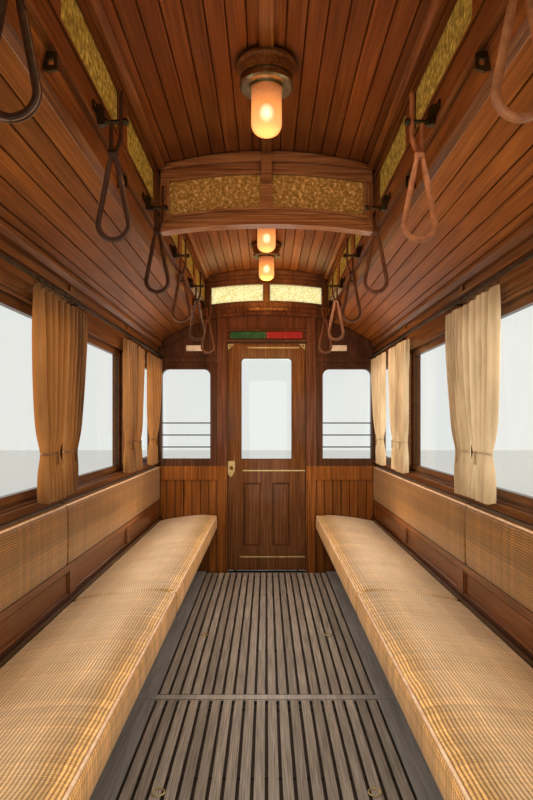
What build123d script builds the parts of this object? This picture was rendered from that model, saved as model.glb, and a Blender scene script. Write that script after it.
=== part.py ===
from build123d import *
import math
import os

# Passenger saloon of a two-axle tram: wooden body between its two end bulkheads.
# X runs across, +Y towards the front bulkhead, Z up from the underside of the sole bars. Millimetres.
# Heights are above the slat tops, and level() adds the floor's own height. "Proud" is how far a
# piece stands out from its face.

# Body in plan
saloonLength = 4700
bayCount = 4
bulkheadThickness = 45
halfInside = 955
wallThickness = 85
padRecess = 20
eaveReach = 32
roofMiddle = 85

# Floor and its frame
floorHeight = 200
matThickness = 20
deckThickness = 30
soleWidth = 90
soleInset = 50
bearerWidth = 70
bearerLift = 40
boltSpanY = 1600
boltHoleRadius = 11
slatWidth = 38
slatPitch = 52
slatsPerSide = 10
battenDepth = 6
battenWidth = 40
battensPerMat = 5
battenInset = 45
matEndGap = 60
matGap = 8
crossBarMiddle = -62
crossBarWidth = 46
plankDrop = 2
plankGap = 14

# Side walls and windows
skirtBottom = 60
sillHeight = 985
windowHeight = 810
friezeHeight = 205
waistDrop = 45
waistRailHeight = 28
waistRailProud = 14
tumblehome = 26
beadWidth = 24
beadProud = 8
dripRailHeight = 16
dripRailProud = 12
pillarWidth = 120
sashRail = 42
sashThickness = 26
sashInset = 30
glassThickness = 6
lightCorner = 18
seatGap = 0.3
cornicePartHeight = 30
corniceProud = 36
jointStripWidth = 52
jointStripProud = 8

# Roof
quarterRise = 185
quarterBulge = 22
roofThickness = 42
gutterLip = 14
clerestoryHalf = 540
clerestoryWall = 58
beamHeight = 60
beamSplay = 23
lightsAboveFoot = 181
lightHeight = 146
topFrame = 68
crownRise = 75
clerestoryOverhang = 45
roofOverhang = 40
boardWidth = 67
grooveWidth = 7
grooveDepth = 5
lightPostWidth = 140
archPostWidth = 250
lightEndGap = 20
sideMouldingProud = 12
ceilingCorniceProud = 40
ceilingCorniceHeight = 24

# Curved lights in the bulkheads and in the arch
fanInner = 31
fanInset = 55
fanAboveFoot = 167
fanSag = 33
fanHeight = 146
archPaneDrop = 15
archPaneSag = 42
archPaneHeight = 170
fanBead = 12
fanBeadProud = 6
archThickness = 50
archDrop = 84
archSideGap = 13
archLipProud = 10
archCorniceProud = 16
muntinHalf = 26
muntinProud = 20
muntinHeight = 150

# End bulkheads
doorOpening = 700
doorHead = 24
postWidth = 85
postProud = 14
endWindowGap = 146
endWindowEdge = 35
endWindowLift = 8
endWindowDrop = 15
endWindowCorner = 60
windowBead = 60
windowBeadProud = 6
railFit = 1
matchBoard = 72
matchRail = 123
lowerRailProud = 10
upperRailProud = 8
upperRailHeight = 50
gableBand = 75
gableProud = 12
gableFrom = 0.13
upperStepProud = 52
lowerStepProud = 26
guardRodRadius = 5
guardRodPitch = 106
guardRodCount = 3
guardRodInset = 10

# Sliding doors
doorLap = 20
doorThickness = 34
doorRunGap = 8
doorTravel = 660
doorClearance = 14
doorStile = 148
doorGlassLift = 3
doorGlassHeight = 892
doorGlassCorner = 30
doorGlassRebate = 8
doorMuntinHalf = 48
doorPanelOuter = 212
doorPanelBottom = 203
doorPanelHeight = 573
doorPanelDepth = 10
doorPanelBevel = 22
wheelSpan = 560
wheelRadius = 22
wheelThickness = 10
railHeight = 8
railWidth = 8
sillDepth = 60
sillPlate = 12
guideGap = 5
guidePlate = 6
guideLip = 24
brassProud = 3
brassStripHeight = 12
cornerPlate = 58
lockWidth = 62
lockHeight = 146
lockBottom = 822
gripRadius = 9
gripStand = 34
gripLength = 150

# Benches
seatFront = 432
riserInset = 208
riserThickness = 22
cushionBottom = 380
cushionThickness = 108
cushionCrown = 15
cushionBackThickness = 72
cushionGap = 4
cushionMeet = -30
backPadMeet = -90
backPadThickness = 36
backPadBottom = 632
backPadUnderSill = 55
seatRailWidth = 45
seatRailHeight = 46
bracketWidth = 32
bracketDepth = 110
panelThickness = 32
panelField = 12
panelRail = 32
panelStile = 90
backRailProud = 18
backRailHeight = 20

# Hand straps
strapInset = 60
strapPinAboveFoot = 65
strapPinRadius = 7
strapPinClearance = 0.3
strapNeck = 108
strapDrop = 379
strapLoopWidth = 115
strapThickness = 18
strapSpacing = 746
strapsPerSide = 6
strapTail = 101
strapLeather = 13
strapEyeRadius = 15
hangerArm = 22
hangerWidth = 44

# Lamps: offset from the roof's middle line
lampOffsets = (-1503, -757, 757, 1503)
lampRoseRadius = 113
lampRoseDepth = 54
lampCollarRadius = 102
lampGlassRadius = 58
lampGlassLength = 189
lampGlassWall = 3
lampGlassBend = 42
casingHalf = 25
casingDepth = 12

# Curtains: rodAboveWindow is the rod's height over the window top
rodAboveWindow = 87
rodRadius = 7
rodStand = 43
curtainDepth = 40
curtainDrop = 10
curtainTie = 203
# Pillar line counted from the rear wall, middle's offset from it, half width at the head
curtainTable = (
    (4, -360, 280),
    (3, 225, 110),
    (3, -75, 150),
    (2, -15, 125),
    (2, -345, 195),
    (1, 145, 110),
    (1, -135, 110),
    (0, 170, 130),
)

# Signs
boardHeight = 60
boardProud = 12
boardSplit = 4
boardInset = 32
plateWidth = 148
plateHeight = 50
plateProud = 4
plateShift = 74

# Sizes worked out from those above
halfOutside = halfInside + wallThickness
halfInsideLow = halfInside + padRecess
eaveHalf = halfOutside + eaveReach
soleOuter = halfOutside - soleInset
soleInner = soleOuter - soleWidth
boltSpanX = soleOuter + soleInner
halfLength = saloonLength / 2
endFace = halfLength + bulkheadThickness
bayPitch = saloonLength / bayCount
deckTop = floorHeight - matThickness
deckBottom = deckTop - deckThickness
windowTop = sillHeight + windowHeight
wallTop = windowTop + friezeHeight
waistHeight = sillHeight - waistDrop
clerestoryFoot = wallTop + quarterRise
beamTop = clerestoryFoot + beamHeight
paneBottom = clerestoryFoot + lightsAboveFoot
paneTop = paneBottom + lightHeight
clerestorySpring = paneTop + topFrame
clerestoryCrown = clerestorySpring + crownRise
quarterInner = clerestoryHalf + clerestoryWall
fanOuter = clerestoryHalf - fanInset
fanBottom = clerestoryFoot + fanAboveFoot
doorOpeningTop = wallTop + doorHead
doorTop = doorOpeningTop + doorLap
doorFace = endFace + doorRunGap
doorGlassHalf = doorOpening / 2 + doorLap - doorStile
doorGlassBottom = sillHeight + doorGlassLift
postEdge = doorOpening / 2 + postWidth
endWindowInner = doorOpening / 2 + endWindowGap
endWindowOuter = halfInside - endWindowEdge
endWindowBottom = sillHeight + endWindowLift
endWindowTop = windowTop - endWindowDrop
lowerRailTop = endWindowBottom - windowBead - windowBeadProud
lowerRailBottom = lowerRailTop - matchRail
railTop = deckTop + railHeight
riserFace = seatFront + riserInset
cushionWelt = cushionBottom + cushionThickness
cushionTop = cushionWelt + cushionCrown
cushionBackTop = cushionBottom + cushionBackThickness
backPadTop = sillHeight - backPadUnderSill
strapX = clerestoryHalf - strapInset
strapPinHeight = clerestoryFoot + strapPinAboveFoot
rodHeight = windowTop + rodAboveWindow
rodX = halfInside - rodStand
curtainTop = rodHeight - rodRadius - seatGap
curtainBottom = sillHeight - curtainDrop
strapMiddles = [roofMiddle + strapSpacing * (i - (strapsPerSide - 1) / 2) for i in range(strapsPerSide)]
postMiddles = [roofMiddle + strapSpacing * (i - strapsPerSide / 2 + 1) for i in range(strapsPerSide - 1)]
bayMiddles = [bayPitch * (i + 0.5) - halfLength for i in range(bayCount)]
pillarMiddles = [bayPitch * i - halfLength for i in range(1, bayCount)]

nodes = {}


def level(height):
    return floorHeight + height


def block(x0, x1, y0, y1, z0, z1):
    x0, x1 = sorted((x0, x1))
    y0, y1 = sorted((y0, y1))
    z0, z1 = sorted((z0, z1))
    return Pos((x0 + x1) / 2, (y0 + y1) / 2, (z0 + z1) / 2) * Box(x1 - x0, y1 - y0, z1 - z0)


def along_y(outline, y0, y1):
    """A section given as (x, z) points, drawn out from y0 to y1."""
    face = Face(Wire.make_polygon([Vector(x, y0, z) for x, z in outline], close=True))
    return extrude(face, amount=y1 - y0, dir=(0, 1, 0))


def flip_x(shape):
    return mirror(shape, about=Plane.YZ)


def flip_y(shape):
    return mirror(shape, about=Plane.XZ)


def both_sides(shape):
    return [shape, flip_x(shape)]


def rod_x(x0, x1, y, z, radius):
    return Pos((x0 + x1) / 2, y, z) * Rot(0, 90, 0) * Cylinder(radius, abs(x1 - x0))


def rod_y(x, y0, y1, z, radius):
    return Pos(x, (y0 + y1) / 2, z) * Rot(90, 0, 0) * Cylinder(radius, abs(y1 - y0))


def rod_z(x, y, z0, z1, radius):
    return Pos(x, y, (z0 + z1) / 2) * Cylinder(radius, z1 - z0)


def fused(pieces):
    whole = pieces[0]
    for piece in pieces[1:]:
        whole = whole + piece
    return whole


def keep(name, *shapes):
    for shape in shapes:
        nodes.setdefault(name, []).extend(shape.solids())


def arc_height(x, half, spring, crown):
    """Height at x of a shallow arc that is spring high at x = half and crown high in the middle."""
    rise = crown - spring
    radius = (half * half + rise * rise) / (2 * rise)
    return crown - radius + math.sqrt(radius * radius - x * x)


def ceiling(x):
    return level(arc_height(x, clerestoryHalf, clerestorySpring, clerestoryCrown))


def boarded(points, outward):
    """Turns a run of board edges into a line with a small V groove at each inner joint."""
    line = [points[0]]
    for before, here, after in zip(points, points[1:], points[2:]):
        run = math.hypot(after[0] - before[0], after[1] - before[1])
        ux, uz = (after[0] - before[0]) / run, (after[1] - before[1]) / run
        nx, nz = -uz * outward, ux * outward
        half = grooveWidth / 2
        line.append((here[0] - ux * half, here[1] - uz * half))
        line.append((here[0] + nx * grooveDepth, here[1] + nz * grooveDepth))
        line.append((here[0] + ux * half, here[1] + uz * half))
    line.append(points[-1])
    return line


# Roof lines shared by the roofs and bulkheads
ceilingBoards = round(2 * clerestoryHalf / boardWidth)
ceilingEdges = [clerestoryHalf * (2 * i / ceilingBoards - 1) for i in range(ceilingBoards + 1)]
ceilingLine = [(x, ceiling(x)) for x in ceilingEdges]


def quarter_point(share):
    x = halfInside + (quarterInner - halfInside) * share
    z = level(wallTop) + quarterRise * share
    return (x, z + quarterBulge * 4 * share * (1 - share))


quarterBoards = round(math.hypot(halfInside - quarterInner, quarterRise) / boardWidth)
quarterLine = [quarter_point(i / quarterBoards) for i in range(quarterBoards + 1)]


def floor_frame():
    """Two sole bars joined by cross bearers, bolted to the truck through four holes in the bars."""
    pieces = []
    for side in (-1, 1):
        pieces.append(block(side * soleInner, side * soleOuter, -endFace, endFace, 0, deckBottom))
    for y in (bearerWidth / 2 - endFace, -boltSpanY / 2, boltSpanY / 2, endFace - bearerWidth / 2):
        low, high = y - bearerWidth / 2, y + bearerWidth / 2
        pieces.append(block(-soleInner, soleInner, low, high, bearerLift, deckBottom))
    frame = fused(pieces)
    for side in (-1, 1):
        for y in (-boltSpanY / 2, boltSpanY / 2):
            frame = frame - rod_z(side * boltSpanX / 2, y, -1, deckBottom + 1, boltHoleRadius)
    keep("floor_frame", frame)


def floor_deck():
    """Deck with a raised plank along each riser and one bar across the floor between the mats."""
    deck = block(-soleOuter, soleOuter, -endFace, endFace, deckBottom, deckTop)
    inner = slat_reach() + plankGap
    low, high = crossBarMiddle - crossBarWidth / 2, crossBarMiddle + crossBarWidth / 2
    deck = deck + block(-riserFace, riserFace, low, high, deckTop, floorHeight)
    plank = block(inner, riserFace, -halfLength, halfLength, deckTop, floorHeight - plankDrop)
    for side_plank in both_sides(plank):
        deck = deck + side_plank
    keep("floor_deck", deck)


def slat_reach():
    return slatPitch * (slatsPerSide - 0.5) + slatWidth / 2


def slat_mats():
    """Two lift-out mats of long slats on thin cross battens, one each side of the middle."""
    reach = slat_reach()
    for name, side in (("slat_mat_front", 1), ("slat_mat_rear", -1)):
        inner_end = crossBarMiddle + side * (crossBarWidth / 2 + matGap)
        y0, y1 = sorted((inner_end, side * (halfLength - matEndGap)))
        pieces = []
        for i in range(2 * slatsPerSide):
            x = slatPitch * (i - slatsPerSide + 0.5)
            left, right = x - slatWidth / 2, x + slatWidth / 2
            pieces.append(block(left, right, y0, y1, deckTop + battenDepth, floorHeight))
        run = y1 - y0 - 2 * battenInset
        for i in range(battensPerMat):
            y = y0 + battenInset + run * i / (battensPerMat - 1)
            low, high = y - battenWidth / 2, y + battenWidth / 2
            pieces.append(block(-reach, reach, low, high, deckTop, deckTop + battenDepth))
        keep(name, Part() + pieces)


def wall_outer(z, extra=0):
    """Point on the outer face, which leans in below the waist and stands upright above it."""
    share = max(0, (level(waistHeight) - z) / (level(waistHeight) - skirtBottom))
    return (halfOutside - tumblehome * share * share + extra, z)


def side_wall():
    """Whole right side: skirt, waist panel, pillars, cant rail, and mouldings inside and out."""
    waist = level(waistHeight)
    heights = [skirtBottom + (waist - skirtBottom) * i / 6 for i in range(7)]
    rail = [
        (halfOutside + waistRailProud, waist + waistRailProud / 2),
        (halfOutside + waistRailProud, waist + waistRailHeight),
        (halfOutside, waist + waistRailHeight + waistRailProud / 2),
    ]
    outline = [(halfInside, deckTop), (soleOuter, deckTop), (soleOuter, skirtBottom)]
    outline += [wall_outer(z) for z in heights] + rail
    outline += [(halfOutside, level(wallTop)), (halfInside, level(wallTop))]
    wall = along_y(outline, -endFace, endFace)
    recess = block(halfInside - 1, halfInsideLow, -halfLength, halfLength, deckTop, level(backPadTop + 12))
    wall = wall - recess
    half = (bayPitch - pillarWidth) / 2
    for y in bayMiddles:
        opening = block(halfInside - 1, halfOutside + waistRailProud, y - half, y + half,
                        level(sillHeight), level(windowTop))
        wall = wall - opening
    cornice = [
        (halfInside, level(wallTop) - cornicePartHeight),
        (halfInside - corniceProud / 2, level(wallTop) - cornicePartHeight + 6),
        (halfInside - corniceProud, level(wallTop) - 4),
        (halfInside - corniceProud, level(wallTop) + 14),
        (halfInside, level(wallTop) - 1),
    ]
    pieces = [wall, along_y(cornice, -halfLength, halfLength)]
    # Inner mouldings: height, depth and how far they stand proud
    for z, high, proud in ((rodHeight + 43, 14, 12), (windowTop + 12, 8, 6), (sillHeight - 22, 14, 16)):
        pieces.append(block(halfInside - proud, halfInside, -halfLength, halfLength, level(z), level(z + high)))
    for y in pillarMiddles:
        low, high = y - jointStripWidth / 2, y + jointStripWidth / 2
        pieces.append(block(halfInside - jointStripProud, halfInside, low, high,
                            level(rodHeight + 43), level(wallTop) - cornicePartHeight + 2))
    drip = level(windowTop) + dripRailHeight
    pieces.append(block(halfOutside, halfOutside + dripRailProud, -endFace, endFace,
                        drip, drip + dripRailHeight))
    bead = [wall_outer(z) for z in heights] + [wall_outer(z, beadProud) for z in reversed(heights)]
    for y in [beadWidth / 2 - endFace] + pillarMiddles + [endFace - beadWidth / 2]:
        pieces.append(along_y(bead, y - beadWidth / 2, y + beadWidth / 2))
    return fused(pieces)


def side_walls():
    right = side_wall()
    keep("side_wall_right", right)
    keep("side_wall_left", flip_x(right))


def side_sashes():
    """A framed light in each bay, its pane held in the middle of the sash."""
    half = (bayPitch - pillarWidth) / 2
    inner = half - sashRail
    sashX = halfInside + sashInset
    glassX = sashX + (sashThickness - glassThickness) / 2
    low, high = level(sillHeight), level(windowTop)
    for y in bayMiddles:
        frame = block(sashX, sashX + sashThickness, y - half, y + half, low, high)
        light = block(sashX - 1, sashX + sashThickness + 1, y - inner, y + inner,
                      low + sashRail, high - sashRail)
        frame = frame - fillet(light.edges().filter_by(Axis.X), lightCorner)
        pane = block(glassX, glassX + glassThickness, y - inner, y + inner, low + sashRail, high - sashRail)
        pane = fillet(pane.edges().filter_by(Axis.X), lightCorner)
        keep("side_sashes", *both_sides(frame))
        keep("side_glass", *both_sides(pane))


def arch_line(above, xs, sag=fanSag):
    """Points of a shallow arc, given how far it is above the lower edge of the curved lights."""
    spring = fanBottom + above
    return [(x, level(arc_height(x, fanOuter, spring, spring + sag))) for x in xs]


def arch_band(low, high, x0, x1, y0, y1, sag=fanSag, steps=6):
    """A flat piece between two shallow arcs, from x0 to x1; no upper arc means up to the ceiling."""
    xs = [x0 + (x1 - x0) * i / steps for i in range(steps + 1)]
    top = [(x, ceiling(x) - 2) for x in xs] if high is None else arch_line(high, xs, sag)
    return along_y(arch_line(low, xs, sag) + list(reversed(top)), y0, y1)


def fan_panes(y0, y1):
    """The two curved lights of a bulkhead, to cut with or to glaze."""
    return both_sides(arch_band(0, fanHeight, fanInner, fanOuter, y0, y1))


def arch_panes(y0, y1):
    """The two curved lights of the arch, taller than those of the bulkheads."""
    top = archPaneHeight - archPaneDrop
    return both_sides(arch_band(-archPaneDrop, top, fanInner, fanOuter, y0, y1, archPaneSag))


def end_window(y0, y1):
    window = block(endWindowInner, endWindowOuter, y0, y1, level(endWindowBottom), level(endWindowTop))
    top = window.edges().filter_by(Axis.Y).group_by(Axis.Z)[-1]
    return fillet(top, endWindowCorner)


def upright_groove(x, z0, z1, y, depth):
    """An upright V groove in the face at y, cut towards y + depth."""
    half = grooveWidth / 2
    start = y - math.copysign(0.01, depth)
    points = [Vector(x - half, start, z0), Vector(x + half, start, z0), Vector(x, y + depth, z0)]
    return extrude(Face(Wire.make_polygon(points, close=True)), amount=z1 - z0, dir=(0, 0, 1))


def bulkhead_mouldings():
    """What stands proud of the saloon face: posts, rails, window frames, gable bands and cornices."""
    y0 = halfLength
    edge = doorOpening / 2
    postTop = fanBottom - 120
    outer = halfInside - 2
    upperRail = level(windowTop + 45)
    pieces = [
        block(edge, postEdge, y0 - postProud, y0, deckTop, level(postTop)),
        block(postEdge, outer, y0 - lowerRailProud, y0, level(lowerRailBottom), level(lowerRailTop)),
        block(postEdge, outer, y0 - upperRailProud, y0, upperRail, upperRail + upperRailHeight),
        block(endWindowInner - windowBead, endWindowOuter + sideMouldingProud, y0 - windowBeadProud, y0,
              level(lowerRailTop - railFit), level(endWindowTop) + windowBead / 3),
    ]
    shares = [gableFrom] + [i / quarterBoards for i in range(1, quarterBoards + 1)]
    band = [(x, z - seatGap) for x, z in map(quarter_point, shares)]
    gable = band + [(x, z - gableBand) for x, z in reversed(band)]
    pieces.append(along_y(gable, y0 - gableProud, y0))
    reach = clerestoryHalf - sideMouldingProud
    # Arched cornices: lower and upper edge above the curved lights' lower edge, and how far proud
    for low, high, proud in ((-128, -100, 22), (-100, -60, 12), (200, 228, lowerStepProud),
                             (228, None, upperStepProud)):
        pieces.append(arch_band(low, high, 0, reach, y0 - proud, y0))
    pieces.append(arch_band(-fanBead, fanHeight + fanBead, 0, fanOuter + fanBead, y0 - fanBeadProud, y0))
    for z in (doorOpeningTop, doorOpeningTop + 92):
        pieces.append(block(0, edge, y0 - postProud, y0, level(z), level(z + 14)))
    mouldings = []
    for piece in pieces:
        mouldings += both_sides(piece)
    return mouldings


def bulkhead():
    """Front end wall up to the roof, with its doorway, two end windows and two curved lights."""
    y0, y1 = halfLength, endFace
    outline = [(halfInside, deckTop)]
    outline += quarterLine
    outline += [(clerestoryHalf, level(clerestoryFoot))]
    outline += list(reversed(ceilingLine[len(ceilingLine) // 2:]))
    left = [(-x, z) for x, z in reversed(outline)]
    whole = fused([along_y(outline + left, y0, y1)] + bulkhead_mouldings())
    front = y0 - upperStepProud - 1
    edge = doorOpening / 2
    cuts = both_sides(end_window(front, y1 + 1)) + fan_panes(front, y1 + 1)
    cuts.append(block(-edge, edge, front, y1 + 1, deckTop - 1, level(doorOpeningTop)))
    boards = round((halfInside - postEdge) / matchBoard)
    for i in range(1, boards):
        x = postEdge + (halfInside - postEdge) * i / boards
        for y, depth in ((y0, grooveDepth), (y1, -grooveDepth)):
            cuts += both_sides(upright_groove(x, deckTop - 1, level(lowerRailBottom), y, depth))
    for cut in cuts:
        whole = whole - cut
    return whole


def bulkheads():
    front = bulkhead()
    keep("bulkhead_front", front)
    keep("bulkhead_rear", flip_y(front))
    middle = (halfLength + endFace) / 2
    y0, y1 = middle - glassThickness / 2, middle + glassThickness / 2
    for pane in both_sides(end_window(y0, y1)) + fan_panes(y0, y1):
        keep("bulkhead_glass", pane, flip_y(pane))


def guard_rods():
    """Thin rods across each end window, let into the window's sides."""
    for i in range(guardRodCount):
        z = level(endWindowBottom) + guardRodPitch * (i + 1) - guardRodRadius
        rod = rod_x(endWindowInner, endWindowOuter, halfLength + guardRodInset, z, guardRodRadius)
        for piece in both_sides(rod):
            keep("guard_rods", piece, flip_y(piece))


def door_light(y0, y1, margin=0):
    light = block(-doorGlassHalf - margin, doorGlassHalf + margin, y0, y1,
                  level(doorGlassBottom) - margin, level(doorGlassBottom + doorGlassHeight) + margin)
    return fillet(light.edges().filter_by(Axis.Y).group_by(Axis.Z)[-1], doorGlassCorner)


def door_leaf():
    """Front door, shut: framed leaf with one tall light over two raised panels, on two fixed wheels."""
    y0, y1 = doorFace, doorFace + doorThickness
    half = doorOpening / 2 + doorLap
    leaf = block(-half, half, y0, y1, deckTop + doorClearance, level(doorTop))
    leaf = leaf - door_light(y0 - 1, y1 + 1)
    for face, inward in ((y0, 1), (y1, -1)):
        leaf = leaf - door_light(face - inward, face + inward * doorGlassRebate, doorGlassRebate)
        for side in (-1, 1):
            bed = face + inward * doorPanelDepth
            low, high = side * doorMuntinHalf, side * doorPanelOuter
            bottom, top = level(doorPanelBottom), level(doorPanelBottom + doorPanelHeight)
            leaf = leaf - block(low, high, face - inward, bed, bottom, top)
            leaf = leaf + block(low + side * doorPanelBevel, high - side * doorPanelBevel,
                                face + inward * doorPanelDepth / 3, bed,
                                bottom + doorPanelBevel, top - doorPanelBevel)
    middle = (y0 + y1) / 2
    for x in (-wheelSpan / 2, wheelSpan / 2):
        leaf = leaf + rod_y(x, middle - wheelThickness / 2, middle + wheelThickness / 2,
                            railTop + seatGap + wheelRadius, wheelRadius)
    return leaf


def door_track():
    """Sill plate with a low rail for the wheels, and a lipped guide above that keeps the leaf upright."""
    x0, x1 = -doorOpening / 2 - soleInset, doorOpening / 2 + doorLap + doorTravel
    middle = doorFace + doorThickness / 2
    sill = block(x0, x1, endFace, endFace + sillDepth, deckTop - sillPlate, deckTop)
    rail = block(x0, x1, middle - railWidth / 2, middle + railWidth / 2, deckTop, railTop)
    under = level(doorTop) + guidePlate
    lip = doorFace + doorThickness + guideGap
    guide = block(x0, x1, endFace, lip + guidePlate, under, under + guidePlate)
    edge = block(x0, x1, lip, lip + guidePlate, under - guideLip, under + guidePlate)
    return [sill + rail, guide + edge]


def corner_plate(side, x, z, size):
    return [(side * x, level(z)), (side * (x - size), level(z)), (side * x, level(z - size))]


def door_brass():
    """Strips, corner plates and a flush lock plate inside, and a pull handle on the platform side."""
    y0, y1 = doorFace, doorFace + doorThickness
    half = doorOpening / 2 - 6
    strip = brassStripHeight / 2
    pieces = []
    for z, start, stop in ((doorPanelBottom - 89, 106, 0), (doorPanelBottom + doorPanelHeight + 106, 132, 0),
                           (doorOpeningTop - 47, 176, 53)):
        pieces.append(block(start - half, half - stop, y0 - 2, y0, level(z) - strip, level(z) + strip))
    for side in (-1, 1):
        top = doorOpeningTop - 12
        plate = corner_plate(side, half, top, cornerPlate)
        hole = corner_plate(side, half - cornerPlate / 5, top - cornerPlate / 5, cornerPlate / 3)
        pieces.append(along_y(plate, y0 - brassProud, y0) - along_y(hole, y0 - brassProud - 1, y0 + 1))
    lockX = lockWidth / 2 - half
    lockTop = lockBottom + lockHeight
    lockOutline = [(-half, lockBottom + 26), (-half, lockTop), (lockWidth - half, lockTop),
                   (lockWidth - half, lockBottom + 60), (lockX, lockBottom)]
    lock = along_y([(x, level(z)) for x, z in lockOutline], y0 - brassProud, y0)
    pieces.append(lock - rod_y(lockX, y0 - 4, y0 + 1, level(lockBottom) + 83, 17))
    low, high = level(lockBottom), level(lockBottom) + gripLength
    grip = rod_z(lockX, y1 + gripStand, low, high, gripRadius)
    for z in (low + 12, high - 12):
        grip = grip + rod_y(lockX, y1, y1 + gripStand, z, gripRadius - 2)
    pieces.append(grip)
    return pieces


def turned(shape):
    """The rear end is the front end turned half round, so its door opens to the other hand."""
    return Rot(0, 0, 180) * shape


def doors():
    leaf = door_leaf()
    track = door_track()
    brass = door_brass()
    middle = doorFace + doorThickness / 2
    light = door_light(middle - glassThickness / 2, middle + glassThickness / 2)
    keep("door_front", leaf)
    keep("door_glass_front", light)
    keep("door_brass_front", *brass)
    keep("door_track_front", *track)
    opened = Pos(-doorTravel, 0, 0)
    keep("door_rear", opened * turned(leaf))
    keep("door_glass_rear", opened * turned(light))
    keep("door_brass_rear", *[opened * turned(piece) for piece in brass])
    keep("door_track_rear", *[turned(piece) for piece in track])


def quarter_roofs():
    """Boarded lower roof each side, from the wall top up to the clerestory, with a rain gutter."""
    eave = level(wallTop)
    foot = eaveHalf - gutterLip
    rise = level(clerestoryFoot) + roofThickness + 12 - eave - 34
    outer = []
    for i in range(7):
        share = i / 6
        bulge = (quarterBulge + gutterLip) * 4 * share * (1 - share)
        outer.append((foot + (quarterInner - foot) * share, eave + 34 + rise * share + bulge))
    gutter = [(foot, eave), (eaveHalf, eave + 4), (eaveHalf, eave + roofThickness),
              (eaveHalf - 6, eave + roofThickness), (foot, eave + 24)]
    outline = boarded(quarterLine, -1) + list(reversed(outer)) + list(reversed(gutter))
    roof = along_y(outline, -endFace, endFace)
    keep("quarter_roof_right", roof)
    keep("quarter_roof_left", flip_x(roof))


def clerestory_roof():
    """Boarded ceiling of the raised roof, with a canvas-covered top that hangs over both sides."""
    reach = quarterInner + clerestoryOverhang
    top = clerestoryCrown + roofThickness
    outer = []
    for i in range(11):
        x = reach - 2 * reach * i / 10
        outer.append((x, level(arc_height(x, reach, clerestorySpring + 16, top))))
    spring = level(clerestorySpring)
    outline = boarded(ceilingLine, 1) + [(quarterInner, spring), (reach, spring - 14)]
    outline += outer + [(-reach, spring - 14), (-quarterInner, spring)]
    keep("clerestory_roof", along_y(outline, -endFace - roofOverhang, endFace + roofOverhang))


def beam_face(z):
    """X of the lower beam's inner face, which leans outwards towards the quarter roof."""
    return clerestoryHalf + beamSplay - (z - level(clerestoryFoot)) * (beamSplay - 10) / beamHeight


def clerestory_side():
    """Upright right side of the raised roof: beam, posts, top frame, mouldings and glazed openings."""
    x0, x1 = clerestoryHalf, quarterInner
    foot, top = level(clerestoryFoot), level(beamTop)
    wall = block(x0, x1, -endFace, endFace, foot, level(clerestorySpring))
    splay = [(x0 - 1, top), (beam_face(top), top), (beam_face(foot - 1), foot - 1), (x0 - 1, foot - 1)]
    wall = wall - along_y(splay, -halfLength, halfLength)
    for start, end in light_runs():
        wall = wall - block(x0 - 1, x1 + 1, start, end, level(paneBottom), level(paneTop))
    pieces = [wall]
    # Mouldings: height, depth and how far they stand proud
    for z, high, proud in ((beamTop, 17, sideMouldingProud), (paneBottom - 18, 10, 6), (paneTop + 8, 12, 8)):
        pieces.append(block(x0 - proud, x0, -halfLength, halfLength, level(z), level(z + high)))
    under = level(clerestorySpring) - ceilingCorniceHeight
    cornice = [
        (x0, under),
        (x0 - ceilingCorniceProud / 2, under + 4),
        (x0 - ceilingCorniceProud, under + 18),
        (x0 - ceilingCorniceProud, ceiling(x0 - ceilingCorniceProud) - 2),
        (x0, level(clerestorySpring) - 1),
    ]
    arch = archThickness / 2 + archCorniceProud
    end = halfLength - upperStepProud
    for start, stop in ((-end, roofMiddle - arch), (roofMiddle + arch, end)):
        pieces.append(along_y(cornice, start, stop))
    return fused(pieces)


def light_runs():
    """Start and end along Y of each run of glass, between the posts."""
    runs = []
    start = lightEndGap - halfLength
    for y in postMiddles:
        half = archPostWidth / 2 if y == roofMiddle else lightPostWidth / 2
        runs.append((start, y - half))
        start = y + half
    runs.append((start, halfLength - lightEndGap))
    return runs


def clerestory_sides():
    wall = clerestory_side()
    keep("clerestory_side_right", wall)
    keep("clerestory_side_left", flip_x(wall))
    glassX = clerestoryHalf + 5
    for start, end in light_runs():
        pane = block(glassX, glassX + glassThickness, start, end, level(paneBottom), level(paneTop))
        keep("clerestory_glass", *both_sides(pane))


def cord_eyes():
    """Small bronze eyes on the beam, midway between the straps, that once led the signal cord."""
    for y in postMiddles:
        if y != roofMiddle:
            low, high = level(clerestoryFoot) + 7, level(beamTop) - 8
            inner = clerestoryHalf - 16
            lug = [(beam_face(high), high), (beam_face(low), low), (beam_face(low) - 14, low - 6), (inner, low),
                   (inner, high - 4), (inner + 8, high)]
            eye = along_y(lug, y - 5, y + 5) - block(inner + 8, inner + 24, y - 6, y + 6, low + 10, low + 26)
            keep("cord_eyes", *both_sides(eye))


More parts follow.
